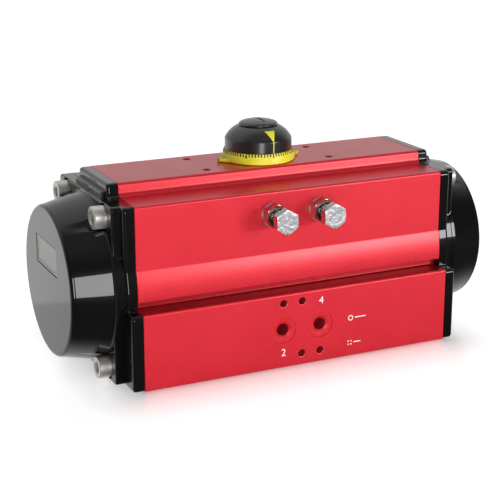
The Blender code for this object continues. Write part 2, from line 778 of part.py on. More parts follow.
def make_shaft_bearings():
    bottom_bush = ring("shaft_bush_bottom", LOWER_JOURNAL_R + RUN, BOTTOM_HOLE_R - GAP, *BOTTOM_BUSH, 32)
    top_bush = ring("shaft_bush_top", UPPER_JOURNAL_R + RUN, TOP_HOLE_R - GAP, *TOP_BUSH, 32)
    finish(bottom_bush, bearing_plastic)
    finish(top_bush, bearing_plastic)
    bearing_top = RAIL_TOP + 1.4
    thrust = ring("thrust_bearing", UPPER_JOURNAL_R + RUN, THRUST_R, RAIL_TOP + 0.2, bearing_top)
    finish(thrust, bearing_plastic)
    washer_low = bearing_top + 0.2
    washer = ring("thrust_washer", UPPER_JOURNAL_R + RUN, THRUST_R, washer_low, washer_low + 1.3)
    finish(washer, stainless)
    clip_low, clip_high = CIRCLIP_GROOVE[0] + GAP, CIRCLIP_GROOVE[1] - GAP
    circlip = ring("shaft_circlip", UPPER_JOURNAL_R - GROOVE_DEPTH + GAP, CIRCLIP_R, clip_low, clip_high, 20)
    cut(circlip, box("gap", (9, -3, clip_low - 1), (CIRCLIP_R + 1, 3, clip_high + 1)))
    finish(circlip, steel, shaft_axis)
    for name, radius, groove in (("shaft_seal_bottom", BOTTOM_SEAL_R, BOTTOM_SEAL_GROOVE),
                                 ("shaft_seal_top", TOP_SEAL_R, TOP_SEAL_GROOVE)):
        seal = o_ring(name, radius, SEAL_WIRE)
        place(seal, (0, 0, sum(groove) / 2))
        finish(seal, rubber)


# ---------------------------------------------------------------- pistons

def rack_outline():
    """The left piston's arm in (x, y), with its teeth towards the shaft."""
    pitch = math.pi * MODULE
    slope = math.tan(PRESSURE_ANGLE)
    pitch_half = (pitch / 2 - BACKLASH) / 2
    tip_half = pitch_half - (PITCH_R - RACK_TIP_Y) * slope
    root_half = pitch_half + (RACK_ROOT_Y - PITCH_R) * slope
    points = []
    for index in range(RACK_TEETH):
        centre = (FIRST_RACK_TOOTH + index) * pitch
        points += [(centre - root_half, RACK_ROOT_Y), (centre - tip_half, RACK_TIP_Y)]
        points += [(centre + tip_half, RACK_TIP_Y), (centre + root_half, RACK_ROOT_Y)]
    points += [(RACK_END_X, RACK_ROOT_Y), (RACK_END_X, RACK_BACK_Y)]
    points += [(-PISTON_INNER - 2, RACK_BACK_Y), (-PISTON_INNER - 2, 12)]
    points += [(-PISTON_INNER - 0.5, 12), (-PISTON_INNER + 6, RACK_ROOT_Y)]
    return points


def piston_profile():
    """The head in (radius, outward distance), with its bearing-band and seal grooves."""
    profile = [(0, PISTON_OUTER), (PISTON_R - 0.8, PISTON_OUTER), (PISTON_R, PISTON_OUTER - 0.8)]
    profile += [(PISTON_R, BAND_GROOVE[1]), (BAND_GROOVE_R, BAND_GROOVE[1])]
    profile += [(BAND_GROOVE_R, BAND_GROOVE[0]), (PISTON_R, BAND_GROOVE[0])]
    profile += [(PISTON_R, SEAL_GROOVE[1]), (SEAL_GROOVE_R, SEAL_GROOVE[1])]
    profile += [(SEAL_GROOVE_R, SEAL_GROOVE[0]), (PISTON_R, SEAL_GROOVE[0])]
    return profile + [(PISTON_R, PISTON_INNER + 0.8), (PISTON_R - 0.8, PISTON_INNER), (0, PISTON_INNER)]


def spring_centres():
    for angle in SPRING_ANGLES:
        across = SPRING_CIRCLE_R * math.cos(math.radians(angle))
        yield across, BORE_Z + SPRING_CIRCLE_R * math.sin(math.radians(angle))


def make_left_piston():
    centre = (0, 0, BORE_Z)
    piston = solid_of_revolution("piston_left", piston_profile(), 36)
    place(piston, centre, ALONG_NEG_X)
    arm = prism("rack", rack_outline(), BORE_Z - RACK_HALF_HEIGHT, BORE_Z + RACK_HALF_HEIGHT)
    combine(piston, arm, "UNION", "MANIFOLD")
    for across, height in spring_centres():
        mouth = (-PISTON_OUTER, across, height)
        pocket = drill(POCKET_R, mouth, ALONG_NEG_X, PISTON_OUTER - POCKET_FLOOR, 14)
        combine(piston, pocket, "DIFFERENCE", "MANIFOLD")
    return finish(piston, cast_aluminium, left_axis)


def make_piston_fittings():
    centre = (-(SEAL_GROOVE[0] + SEAL_GROOVE[1]) / 2, 0, BORE_Z)
    seal = place(o_ring("piston_seal_left", PISTON_SEAL_R, PISTON_SEAL_WIRE, 36), centre, ALONG_X)
    finish(seal, rubber, left_axis)
    turned_over(seal, "piston_seal_right", right_axis)
    band = ring("piston_band_left", 40.25, 41.75, BAND_GROOVE[0] + 0.3, BAND_GROOVE[1] - 0.3, 36)
    place(band, (0, 0, BORE_Z), ALONG_NEG_X)
    finish(band, bearing_plastic, left_axis)
    turned_over(band, "piston_band_right", right_axis)
    pad = box("guide_pad_left", (-8, RACK_BACK_Y + GAP, BORE_Z - 8), (22, 40.6, BORE_Z + 8))
    finish(pad, bearing_plastic, left_axis)
    turned_over(pad, "guide_pad_right", right_axis)


def make_springs():
    """Compression springs between the piston pockets and the cap floors."""
    start = POCKET_FLOOR + GAP + SPRING_WIRE_R
    length = CAP_FLOOR - GAP - SPRING_WIRE_R - start
    count = SPRING_TURNS * SPRING_POINTS_PER_TURN
    for number, (across, height) in enumerate(spring_centres(), 1):
        path = []
        for index in range(count + 1):
            angle = TAU * index / SPRING_POINTS_PER_TURN
            along = -(start + length * index / count)
            path.append((along, across + SPRING_R * math.cos(angle), height + SPRING_R * math.sin(angle)))
        spring = wire("return_spring_left_" + str(number), path, SPRING_WIRE_R, False)
        finish(spring, steel)
        turned_over(spring, "return_spring_right_" + str(number))


# ---------------------------------------------------------------- position indicator

def make_scale_ring():
    profile = [(RING_TOP_R, RING_TOP), (RING_BASE_R, RING_BOTTOM + 1), (RING_BASE_R, RING_BOTTOM)]
    profile += [(RING_INNER_R, RING_BOTTOM), (RING_INNER_R, RING_TOP)]
    scale = turned("scale_ring", profile, 40, True)
    root = RING_INNER_R + 0.9
    for side in (-1, 1):
        ear = [(side * root, -EAR_HALF), (side * (EAR_TIP - 0.8), -1.6), (side * EAR_TIP, 0)]
        ear += [(side * (EAR_TIP - 0.8), 1.6), (side * root, EAR_HALF)]
        join(scale, prism("ear", ear, RING_BOTTOM, RING_BOTTOM + EAR_HEIGHT))
    return finish(scale, yellow, ring_axis)


def make_dome():
    """A hollow cap over the shaft's end, with a bar in its hub that fills the shaft's slot."""
    wall_low = RING_TOP + GAP
    recess_top = DOME_SHOULDER - 2.7
    hub_bore = SHAFT_END_R + GAP
    ceiling = SHAFT_TOP + GAP
    screw_r = INDICATOR_SCREW_R + 0.9
    head_r = INDICATOR_HEAD_R + 0.5
    head_floor = DOME_TOP - 2.2
    profile = [(DOME_FLAT_R, DOME_TOP), (DOME_R, DOME_SHOULDER), (DOME_R, wall_low)]
    profile += [(SKIRT_R, wall_low), (SKIRT_R, SKIRT_BOTTOM), (SKIRT_INNER_R, SKIRT_BOTTOM)]
    profile += [(SKIRT_INNER_R, recess_top), (HUB_R, recess_top), (HUB_R, HUB_BOTTOM)]
    profile += [(hub_bore, HUB_BOTTOM), (hub_bore, ceiling), (screw_r, ceiling)]
    profile += [(screw_r, head_floor), (head_r, head_floor), (head_r, DOME_TOP)]
    dome = turned("indicator_dome", profile, 36, True)
    bar_half = SLOT_WIDTH / 2 - GAP
    bar = box("drive_bar", (-hub_bore - 1, -bar_half, SHAFT_TOP - SLOT_DEPTH + GAP),
              (hub_bore + 1, bar_half, ceiling + 1))
    join(dome, bar)
    cut(dome, cylinder("screw_hole", screw_r, HUB_BOTTOM - 4, DOME_TOP - 1, 12))
    return finish(dome, black_plastic, shaft_axis)


def make_pointer():
    """A flat flag on the dome's slope that narrows to a line down its wall, at -Y."""
    slope = math.atan2(DOME_TOP - DOME_SHOULDER, DOME_R - DOME_FLAT_R)
    half = POINTER_LINE_HALF
    top = POINTER_FLAG_HALF
    flag = [(-half, -0.4), (half, -0.4), (half, 0.8), (top, 8.9), (-top, 8.9), (-half, 0.8)]
    pointer = prism("indicator_pointer", flag, 0.15, 0.75)
    place(pointer, (0, -DOME_R, DOME_SHOULDER), (slope, 0, 0))
    bpy.context.view_layer.update()
    line = box("line", (-half, -DOME_R - 0.7, RING_TOP + GAP), (half, -DOME_R - 0.1, DOME_SHOULDER + 0.3))
    join(pointer, line)
    return finish(pointer, yellow, shaft_axis)


def make_indicator_top():
    """The screw that holds the dome on the shaft, and the disc that covers it."""
    head_top = DOME_TOP - 0.2
    head_low = DOME_TOP - 2.0
    screw_low = HUB_BOTTOM - 4.0
    screw_profile = [(0, head_top), (INDICATOR_HEAD_R - 0.5, head_top), (INDICATOR_HEAD_R, head_top - 0.5)]
    screw_profile += [(INDICATOR_HEAD_R, head_low), (INDICATOR_SCREW_R, head_low)]
    screw_profile += [(INDICATOR_SCREW_R, screw_low), (0, screw_low)]
    finish(solid_of_revolution("indicator_screw", screw_profile, 12), stainless, shaft_axis)
    disc_profile = [(0, DISC_TOP), (DISC_R - 0.7, DISC_TOP - 1.2), (DISC_R, DISC_TOP - 1.9)]
    disc_profile += [(DISC_R, DOME_TOP + GAP), (0, DOME_TOP + GAP)]
    disc = solid_of_revolution("indicator_cap", disc_profile, 28)
    finish(disc, black_plastic, shaft_axis)


# ---------------------------------------------------------------- assembly

clear_scene()
parts = new_collection("rotary_pneumatic_actuator")
cutters = new_collection("cutters")

red_anodised = new_material("red_anodised", (0.70, 0.02, 0.04), 0.35, 0.6)
black_gloss = new_material("black_gloss", (0.01, 0.01, 0.012), 0.15, 0.0)
stainless = new_material("stainless", (0.60, 0.58, 0.55), 0.3, 1.0)
steel = new_material("steel", (0.35, 0.35, 0.36), 0.4, 1.0)
cast_aluminium = new_material("cast_aluminium", (0.62, 0.63, 0.64), 0.45, 1.0)
bearing_plastic = new_material("bearing_plastic", (0.80, 0.78, 0.70), 0.5, 0.0)
rubber = new_material("rubber", (0.02, 0.02, 0.02), 0.7, 0.0)
yellow = new_material("yellow_plastic", (0.90, 0.70, 0.02), 0.4, 0.0)
black_plastic = new_material("black_plastic", (0.02, 0.02, 0.02), 0.35, 0.0)

shaft_axis = make_empty("shaft_axis", (0, 0, 0))
ring_axis = make_empty("scale_ring_axis", (0, 0, RING_BOTTOM))
left_axis = make_empty("piston_axis_left", (-PISTON_INNER, 0, BORE_Z))
right_axis = make_empty("piston_axis_right", (PISTON_INNER, 0, BORE_Z))

make_body()
for side_label, side_sign in (("left", -1), ("right", 1)):
    make_end_cap("end_cap_" + side_label, side_sign)
    make_rating_plate("rating_plate_" + side_label, side_sign)
    make_cap_seal("cap_seal_" + side_label, side_sign)
    make_cap_fasteners(side_label, side_sign)
    make_stop(side_label, side_sign)
make_shaft()
make_stop_cam()
make_shaft_bearings()
turned_over(make_left_piston(), "piston_right", right_axis)
make_piston_fittings()
make_springs()
make_scale_ring()
make_dome()
make_pointer()
make_indicator_top()
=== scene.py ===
"""Looks of a rack-and-pinion rotary pneumatic actuator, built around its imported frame.

Lengths are in millimetres and MM turns them into metres. Places come from the boxes of the frame's
nodes. +X runs along the cylinder bore, -Y faces the air ports and +Z points up the shaft.
"""

import functools
import math

import bmesh
import bpy
from mathutils import Matrix, Vector


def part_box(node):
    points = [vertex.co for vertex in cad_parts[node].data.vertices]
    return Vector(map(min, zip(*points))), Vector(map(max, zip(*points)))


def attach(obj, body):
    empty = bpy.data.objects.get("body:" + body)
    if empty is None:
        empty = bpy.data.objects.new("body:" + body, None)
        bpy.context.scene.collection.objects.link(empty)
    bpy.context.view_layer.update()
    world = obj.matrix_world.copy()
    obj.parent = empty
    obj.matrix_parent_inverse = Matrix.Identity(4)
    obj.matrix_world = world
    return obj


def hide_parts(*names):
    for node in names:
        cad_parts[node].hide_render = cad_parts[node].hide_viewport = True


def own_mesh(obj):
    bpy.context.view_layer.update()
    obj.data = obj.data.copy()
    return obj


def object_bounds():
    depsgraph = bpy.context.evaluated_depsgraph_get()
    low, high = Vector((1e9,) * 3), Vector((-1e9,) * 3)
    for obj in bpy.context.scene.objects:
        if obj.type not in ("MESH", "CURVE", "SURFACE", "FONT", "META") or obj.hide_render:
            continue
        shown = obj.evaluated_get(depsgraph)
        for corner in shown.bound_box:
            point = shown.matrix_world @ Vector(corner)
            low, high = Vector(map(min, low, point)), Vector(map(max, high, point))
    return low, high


MM = 0.001
TAU = 2 * math.pi
SHARP = math.radians(32.0)
WELD = 0.000001               # metres
SIDES = (("left", -1), ("right", 1))
QUADRANTS = ((-1, -1), (-1, 1), (1, -1), (1, 1))

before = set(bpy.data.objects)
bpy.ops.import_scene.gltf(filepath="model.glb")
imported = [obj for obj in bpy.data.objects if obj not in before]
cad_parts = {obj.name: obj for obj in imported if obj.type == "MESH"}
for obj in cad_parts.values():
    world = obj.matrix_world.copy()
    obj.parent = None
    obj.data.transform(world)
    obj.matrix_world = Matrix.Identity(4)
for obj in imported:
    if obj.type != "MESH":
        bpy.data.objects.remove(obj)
cad_low, cad_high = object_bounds()


def span(node, axis):
    """The lowest and highest coordinate of a CAD node along an axis, in millimetres."""
    low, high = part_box(node)
    return low[axis] / MM, high[axis] / MM


# Places read from the frame.
BODY_HALF = span("cylinder_body", 0)[1]
BLOCK_Y, BULGE_R = span("cylinder_body", 1)
RAIL_TOP = span("cylinder_body", 2)[1]
CAP_FACE, CAP_END = span("end_cap_right", 0)
STOP_X = sum(span("stop_bolt_right", 0)) / 2
STOP_Z = sum(span("stop_bolt_right", 2)) / 2
STOP_FACE, STOP_TIP = span("stop_bolt_right", 1)
NUT_FACE, NUT_BACK = span("lock_nut_right", 1)
WASHER_FACE, WASHER_BACK = span("stop_washer_right", 1)
RING_LOW, RING_HIGH = span("scale_ring", 2)
EAR_TIP = span("scale_ring", 0)[1]
RING_R = span("scale_ring", 1)[1]
DOME_R = span("indicator_dome", 0)[1]
DOME_LOW, DOME_HIGH = span("indicator_dome", 2)
DISC_R = span("indicator_cap", 0)[1]
DISC_LOW, DISC_HIGH = span("indicator_cap", 2)

# The body's section, and the turned holes on the shaft's axis.
BORE_Z = 52.4
BORE_R = 42.0
RAIL_HALF = 24.3
SHELF_Z = 103.5
RAIL_FILLET = 3.1
FRONT_Y = -49.4
BACK_Y = 44.0
BULGE_END_Z = 49.4
BLOCK_TOP = 44.7
UNDERCUT_Y = -46.0
TOP_HOLE_R = 14.2
BOTTOM_HOLE_R = 16.9
SPIGOT_R = 17.6
SPIGOT_DEPTH = 3
CAM_POCKET_R = 22.3
CAM_POCKET = (80.4, 95.4)
IN_BORE_Z = 20                # a height inside the bore, where the hole's radius changes

# Holes in the body, as (across, up) centres on the face that they open in.
PORTS = ((-12.0, 23.1), (12.0, 23.1))
VALVE_HOLES = ((-12.0, 39.1), (0.0, 39.1), (0.0, 7.1), (12.0, 7.1))
TOP_HOLES = ((-40.0, -15.0), (-40.0, 15.0), (40.0, -15.0), (40.0, 15.0))
FLANGE_WIDE = 24.75           # M8 holes on a 70 mm circle
FLANGE_NARROW = 17.7          # M6 holes on a 50 mm circle
SCREW_Y = 32.0
SCREW_Z = (8.2, 95.4)
SCREW_HOLE_R = 4.35
SCREW_HOLE_DEPTH = 24
HOLE_DEPTH = 10.0
STOP_HOLE_R = 4.2
STOP_HOLE_DEPTH = 40.6

# Threads, as the inner radius, the outer radius and the pitch.
VALVE_THREAD = (2.15, 2.6, 0.8)
TOP_THREAD = (2.15, 2.5, 0.8)
M6_THREAD = (2.5, 3.0, 1.0)
M8_THREAD = (3.4, 4.0, 1.25)
M5_MOUTH_R = 2.75
PORT_R = 3.7
PORT_GROOVE_R = 4.2
PORT_PITCH = 1.1
PORT_TURNS = 8
PORT_DEPTH = 12.0

# End caps, measured outwards from the shaft's axis.
FLANGE_X = 104.2
STEP_X = 109.4
STEP_HALF = 45.0
STEP_R = 50.6
RAIL_STEP_X = 106.8
RAIL_STEP_TOP = 106.7
CONE_R = 49.2
CONE_END_R = 44.1
CAVITY_R = 41.0
CAVITY_END = 128.0
SCREW_SEAT = 106.2
COUNTERBORE_R = 7.75
PLATE = (38.0, 17.0)
PLATE_Z = 67.7
PLATE_RECESS = 1.0

# Fasteners.
SCREW_HEAD = 8.0
SCREW_HEAD_R = 6.5
HEX_FLATS = 13.0
HEX_HEAD = 5.2
NUT_TURN = 25.0
STOP_ROD_R = 3.9
DISH = 0.25                   # depth of the dish in a stop bolt's head, which its marks stand in

# Position indicator.
RING_TOP_R = 20.6
RING_INNER_R = 19.1
WALL_LOW = RING_HIGH + 0.3    # the dome's wall starts above the ring, and its skirt is inside
SKIRT_R = 18.6
SKIRT_INNER_R = 17.2
SHOULDER = 124.2              # where the dome's wall turns into its slope
DOME_FLAT_R = 12.2
EAR_ROOT = (20.2, 7.6)        # how far out a finger ear's corners are, and how far apart by half
EAR_SHOULDER = (22.6, 4.9)
EAR_TIP_HALF = 2.0
TICKS = 72
TICKS_PER_LONG = 9
FLAG = 7.3                    # from the line's end to the pointer's far end, along the dome
LINE_HALF = 0.27
FLARE = 3.1
POINTER_LEAN = math.radians(1.4)

# Springs and printed marks.
SPRING_WIRE_R = 1.3
SPRING_TURNS = 10
INK_HALF = 0.05               # half a printed mark's thickness, which stands proud
BAR_HALF = 0.3

# Camera and floor.
CAMERA_AZIMUTH = -25.343      # degrees, with 0 in front
CAMERA_ELEVATION = 16.825
CAMERA_DISTANCE = 0.8         # metres
CAMERA_AIM = (-0.0077, -0.0050, 0.0559)
FOCAL_LENGTH = 95.29
FLOOR_HALF = 4000.0
GLOW = 0.8
GLOW_AT_FOOT = 0.19
GLOW_RISE = 3.1               # times the square root of the metres from the foot


# ---------------------------------------------------------------- outlines

def corner_arc(before, here, after, radius, steps):
    """The points that round one corner of an outline off to a radius."""
    back_way = (before - here).normalized()
    on_way = (after - here).normalized()
    half = back_way.angle(on_way) / 2
    reach = radius / math.tan(half)
    centre = here + (back_way + on_way).normalized() * (radius / math.sin(half))
    start = here + back_way * reach - centre
    end = here + on_way * reach - centre
    first = math.atan2(start.y, start.x)
    sweep = math.remainder(math.atan2(end.y, end.x) - first, TAU)
    angles = [first + sweep * step / steps for step in range(steps + 1)]
    return [(centre.x + radius * math.cos(a), centre.y + radius * math.sin(a)) for a in angles]


def rounded(corners, steps=6, closed=True):
    """An outline from (across, up) or (across, up, radius) corners. An open one keeps its ends."""
    points = []
    count = len(corners)
    for index, corner in enumerate(corners):
        at_end = not closed and index in (0, count - 1)
        if len(corner) < 3 or at_end:
            points.append(tuple(corner[:2]))
            continue
        before = Vector(corners[index - 1][:2])
        after = Vector(corners[(index + 1) % count][:2])
        points += corner_arc(before, Vector(corner[:2]), after, corner[2], steps)
    return points


def arc(centre, radius, start, end, count):
    """Points on an arc, with its angles in degrees and both ends included."""
    points = []
    for index in range(count):
        angle = math.radians(start + (end - start) * index / (count - 1))
        points.append((centre[0] + radius * math.cos(angle), centre[1] + radius * math.sin(angle)))
    return points


def inset(outline, distance):
    """The outline moved inwards by a distance, with mitred corners."""
    count = len(outline)
    area = 0.0
    for index, (across, up) in enumerate(outline):
        next_across, next_up = outline[(index + 1) % count]
        area += across * next_up - next_across * up
    inwards = math.copysign(1.0, area)
    moved = []
    for index, point in enumerate(outline):
        here = Vector(point)
        arriving = (here - Vector(outline[index - 1])).normalized()
        leaving = (Vector(outline[(index + 1) % count]) - here).normalized()
        middle = (arriving + leaving).normalized()
        normal = Vector((-middle.y, middle.x)) * inwards
        moved.append(tuple(here + normal * (distance / max(0.3, middle.dot(leaving)))))
    return moved


def regular(sides, flats, turn=0.0):
    corner_r = flats / 2 / math.cos(math.pi / sides)
    return arc((0, 0), corner_r, turn, turn + 360.0 * (sides - 1) / sides, sides)


# ---------------------------------------------------------------- meshes

def linked(name, data):
    """A new object in the scene with the data."""
    obj = bpy.data.objects.new(name, data)
    bpy.context.scene.collection.objects.link(obj)
    return obj


def new_object(name, points, faces):
    mesh = bpy.data.meshes.new(name)
    mesh.from_pydata([Vector(point) * MM for point in points], [], faces)
    shape = bmesh.new()
    shape.from_mesh(mesh)
    bmesh.ops.recalc_face_normals(shape, faces=shape.faces)
    shape.to_mesh(mesh)
    shape.free()
    return linked(name, mesh)


def loft(name, rings, looped=False):
    """Skins closed rings of points in order, and closes both ends unless it runs round."""
    size = len(rings[0])
    rows = len(rings)
    faces = []
    for row in range(rows if looped else rows - 1):
        near = row * size
        far = (row + 1) % rows * size
        for index in range(size):
            after = (index + 1) % size
            faces.append((near + index, near + after, far + after, far + index))
    if not looped:
        faces.append(tuple(range(size)))
        faces.append(tuple(range((rows - 1) * size, rows * size)))
    return new_object(name, [point for points in rings for point in points], faces)


def turned(name, profile, segments=64, looped=False):
    """Turns a profile of (radius, height) about Z. An end on the axis becomes a flat disc."""
    rings = []
    for radius, height in profile:
        if radius <= 0:
            continue
        circle = arc((0, 0), radius, 0, 360 - 360 / segments, segments)
        rings.append([(across, up, height) for across, up in circle])
    return loft(name, rings, looped)


def prism(name, outline, low, high, edge=0.0, both=False, steps=5):
    """An outline extruded along Z whose top edge, or both edges, are rounded."""
    levels = [(low, 0.0)]
    if edge and both:
        levels = [(low + edge - edge * math.sin(a), edge - edge * math.cos(a)) for a in quarter(steps)]
        levels.reverse()
    if edge:
        levels += [(high - edge + edge * math.sin(a), edge - edge * math.cos(a)) for a in quarter(steps)]
    else:
        levels.append((high, 0.0))
    rings = []
    for height, distance in levels:
        flat = inset(outline, distance) if distance else outline
        rings.append([(across, up, height) for across, up in flat])
    return loft(name, rings)


def quarter(steps):
    return [math.pi / 2 * step / steps for step in range(steps + 1)]


def moved(obj, matrix):
    """Moves the mesh itself, so the object stays at the row frame's origin."""
    obj.data.transform(matrix)
    if matrix.determinant() < 0:
        obj.data.flip_normals()
    return obj


def placed_copy(pattern, name, matrix):
    """A copy of the pattern whose mesh is moved to its place."""
    return moved(linked(name, pattern.data.copy()), matrix)


def at(x, y, z):
    return Matrix.Translation(Vector((x, y, z)) * MM)


TO_FRONT = Matrix.Rotation(math.pi / 2, 4, "X")      # +Z to -Y, and +Y to +Z
TO_RIGHT = Matrix(((0, 0, 1, 0), (1, 0, 0, 0), (0, 1, 0, 0), (0, 0, 0, 1)))   # (y, z, x)
TO_LEFT = Matrix(((0, 0, -1, 0), (-1, 0, 0, 0), (0, 1, 0, 0), (0, 0, 0, 1)))
TO_FLOOR = Matrix.Rotation(math.pi, 4, "X")


def outwards(side):
    return TO_RIGHT if side > 0 else TO_LEFT


def evaluated_mesh(obj):
    bpy.context.view_layer.update()
    graph = bpy.context.evaluated_depsgraph_get()
    return bpy.data.meshes.new_from_object(obj.evaluated_get(graph))


def combine(target, tool, operation):
    """Applies a Boolean with the tool, welds its seams and removes the tool."""
    modifier = target.modifiers.new("Combine", "BOOLEAN")
    modifier.operation = operation
    modifier.solver = "EXACT"
    modifier.object = tool
    mesh = evaluated_mesh(target)
    target.modifiers.clear()
    target.data = mesh
    shape = bmesh.new()
    shape.from_mesh(mesh)
    bmesh.ops.remove_doubles(shape, verts=shape.verts, dist=WELD)
    bmesh.ops.dissolve_degenerate(shape, edges=shape.edges, dist=WELD)
    shape.to_mesh(mesh)
    shape.free()
    bpy.data.objects.remove(tool, do_unlink=True)


def cut(target, *tools):
    for tool in tools:
        combine(target, tool, "DIFFERENCE")


def join(target, *tools):
    for tool in tools:
        combine(target, tool, "UNION")


def gathered(name, objects):
    """One object that holds the meshes of several."""
    shape = bmesh.new()
    for obj in objects:
        shape.from_mesh(obj.data)
        bpy.data.objects.remove(obj, do_unlink=True)
    mesh = bpy.data.meshes.new(name)
    shape.to_mesh(mesh)
    shape.free()
    return linked(name, mesh)


def show(obj, material, body, slot, *stands_for):
    """Shades a finished mesh, gives it its material, ties it to its body and hides the CAD nodes that it
    stands for.
    """
    obj.data.materials.clear()
    obj.data.materials.append(material)
    obj.data.shade_smooth()
    obj.data.set_sharp_from_angle(angle=SHARP)
    normals = obj.modifiers.new("Normals", "WEIGHTED_NORMAL")
    normals.keep_sharp = True
    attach(obj, body)
    if stands_for:
        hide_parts(*stands_for)


# ---------------------------------------------------------------- materials

NOISE_SPAN = (0.3, 0.7)       # where nearly all of a noise's values lie


def shader_of(material):
    return material.node_tree.nodes["Principled BSDF"]


def new_material(name, colour, roughness, metallic=0.0, coat=0.0, coat_roughness=0.1):
    material = bpy.data.materials.new(name)
    material.use_nodes = True
    shader = shader_of(material)
    shader.inputs["Base Color"].default_value = (*colour, 1.0)
    shader.inputs["Roughness"].default_value = roughness
    shader.inputs["Metallic"].default_value = metallic
    shader.inputs["Coat Weight"].default_value = coat
    shader.inputs["Coat Roughness"].default_value = coat_roughness
    return material


def noise(material, per_metre, detail=3.0, stretch=(1.0, 1.0, 1.0)):
    """A noise that is fixed to the object, with so many features a metre."""
    nodes = material.node_tree.nodes
    links = material.node_tree.links
    place = nodes.new("ShaderNodeTexCoord")
    scale = nodes.new("ShaderNodeMapping")
    scale.inputs["Scale"].default_value = stretch
    texture = nodes.new("ShaderNodeTexNoise")
    texture.inputs["Scale"].default_value = per_metre
    texture.inputs["Detail"].default_value = detail
    links.new(place.outputs["Object"], scale.inputs["Vector"])
    links.new(scale.outputs["Vector"], texture.inputs["Vector"])
    return texture.outputs["Fac"]


def tint(material, per_metre, dark, light, detail=3.0):
    """Drives the base colour from dark to light by a noise."""
    links = material.node_tree.links
    ramp = material.node_tree.nodes.new("ShaderNodeValToRGB")
    for stop, position, colour in zip(ramp.color_ramp.elements, NOISE_SPAN, (dark, light)):
        stop.position = position
        stop.color = (*colour, 1.0)
    links.new(noise(material, per_metre, detail), ramp.inputs["Fac"])
    links.new(ramp.outputs["Color"], shader_of(material).inputs["Base Color"])


def ramp_between(tree, value, start, end, low, high, kind="LINEAR"):
    """Maps a value that runs from start to end onto low to high."""
    node = tree.nodes.new("ShaderNodeMapRange")
    node.interpolation_type = kind
    for name, number in (("From Min", start), ("From Max", end), ("To Min", low), ("To Max", high)):
        node.inputs[name].default_value = number
    tree.links.new(value, node.inputs["Value"])
    return node.outputs["Result"]


def arithmetic(tree, operation, *values):
    """A maths node on numbers and sockets."""
    node = tree.nodes.new("ShaderNodeMath")
    node.operation = operation
    for socket, value in zip(node.inputs, values):
        if isinstance(value, float):
            socket.default_value = value
        else:
            tree.links.new(value, socket)
    return node.outputs[0]


def vary_roughness(material, per_metre, low, high):
    tree = material.node_tree
    result = ramp_between(tree, noise(material, per_metre), *NOISE_SPAN, low, high)
    tree.links.new(result, shader_of(material).inputs["Roughness"])


def bump(material, per_metre, strength, height, detail=3.0, stretch=(1.0, 1.0, 1.0), coat_too=False):
    """A bump of so many metres from a noise."""
    links = material.node_tree.links
    shader = shader_of(material)
    node = material.node_tree.nodes.new("ShaderNodeBump")
    node.inputs["Strength"].default_value = strength
    node.inputs["Distance"].default_value = height
    links.new(noise(material, per_metre, detail, stretch), node.inputs["Height"])
    links.new(node.outputs["Normal"], shader.inputs["Normal"])
    if coat_too:
        links.new(node.outputs["Normal"], shader.inputs["Coat Normal"])


def surface(name, colour, roughness, *rest, tinted, bumped, roughened=None, coat_too=False):
    """A material whose colour, roughness and surface vary with noises."""
    material = new_material(name, colour, roughness, *rest)
    tint(material, *tinted)
    if roughened:
        vary_roughness(material, *roughened)
    bump(material, *bumped, coat_too=coat_too)
    return material


def print_ink(name, colour):
    material = new_material(name, colour, 0.5)
    light = tuple(min(1.0, value * 1.06 + 0.004) for value in colour)
    tint(material, 900.0, tuple(value * 0.9 for value in colour), light)
    return material


RED = surface(
    "red_anodised", (0.80, 0.02, 0.045), 0.40, 0.45, 0.8, 0.28,
    tinted=(1500.0, (0.74, 0.008, 0.024), (0.96, 0.022, 0.046), 4.0),
    roughened=(60.0, 0.38, 0.46), bumped=(1500.0, 0.30, 0.00012, 4.0), coat_too=True)
# Painted shade: a darker red for the body down in its holes and in the slot above the port block, standing
# in for the little light that reaches there.
RECESS_SHADE_RED = surface(
    "painted_recess_shade", (0.45, 0.010, 0.020), 0.28, 0.4,
    tinted=(500.0, (0.38, 0.008, 0.014), (0.52, 0.013, 0.026)),
    bumped=(900.0, 0.2, 0.0001))
GLOSS = surface(
    "black_gloss", (0.0035, 0.003, 0.003), 0.22, 0.0, 1.0, 0.02,
    tinted=(40.0, (0.003, 0.0026, 0.0026), (0.0045, 0.004, 0.004)),
    bumped=(130.0, 0.015, 0.0004, 2.0), coat_too=True)
shader_of(GLOSS).inputs["Specular IOR Level"].default_value = 0.1
STAINLESS = surface(
    "stainless", (0.64, 0.62, 0.60), 0.26, 1.0,
    tinted=(260.0, (0.58, 0.57, 0.55), (0.69, 0.68, 0.66)),
    roughened=(700.0, 0.20, 0.30), bumped=(900.0, 0.08, 0.00006, 4.0))
SCREW_STEEL = surface(
    "screw_steel", (0.80, 0.77, 0.72), 0.44, 0.85,
    tinted=(260.0, (0.74, 0.71, 0.66), (0.86, 0.83, 0.78)),
    roughened=(700.0, 0.38, 0.50), bumped=(900.0, 0.10, 0.00006, 4.0))
# The end caps' plates: dull, slightly warm grey aluminium.
PLATE_METAL = surface(
    "plate_metal", (0.40, 0.39, 0.37), 0.34, 1.0,
    tinted=(300.0, (0.38, 0.37, 0.35), (0.43, 0.42, 0.40)),
    bumped=(800.0, 0.06, 0.00006))
# The turned and pressed sides of the stop bolts and their nuts, which mirror the body.
BRIGHT = surface(
    "bright_steel", (0.56, 0.54, 0.51), 0.22, 1.0,
    tinted=(300.0, (0.50, 0.48, 0.45), (0.62, 0.60, 0.57)),
    roughened=(600.0, 0.17, 0.27), bumped=(700.0, 0.08, 0.00006))
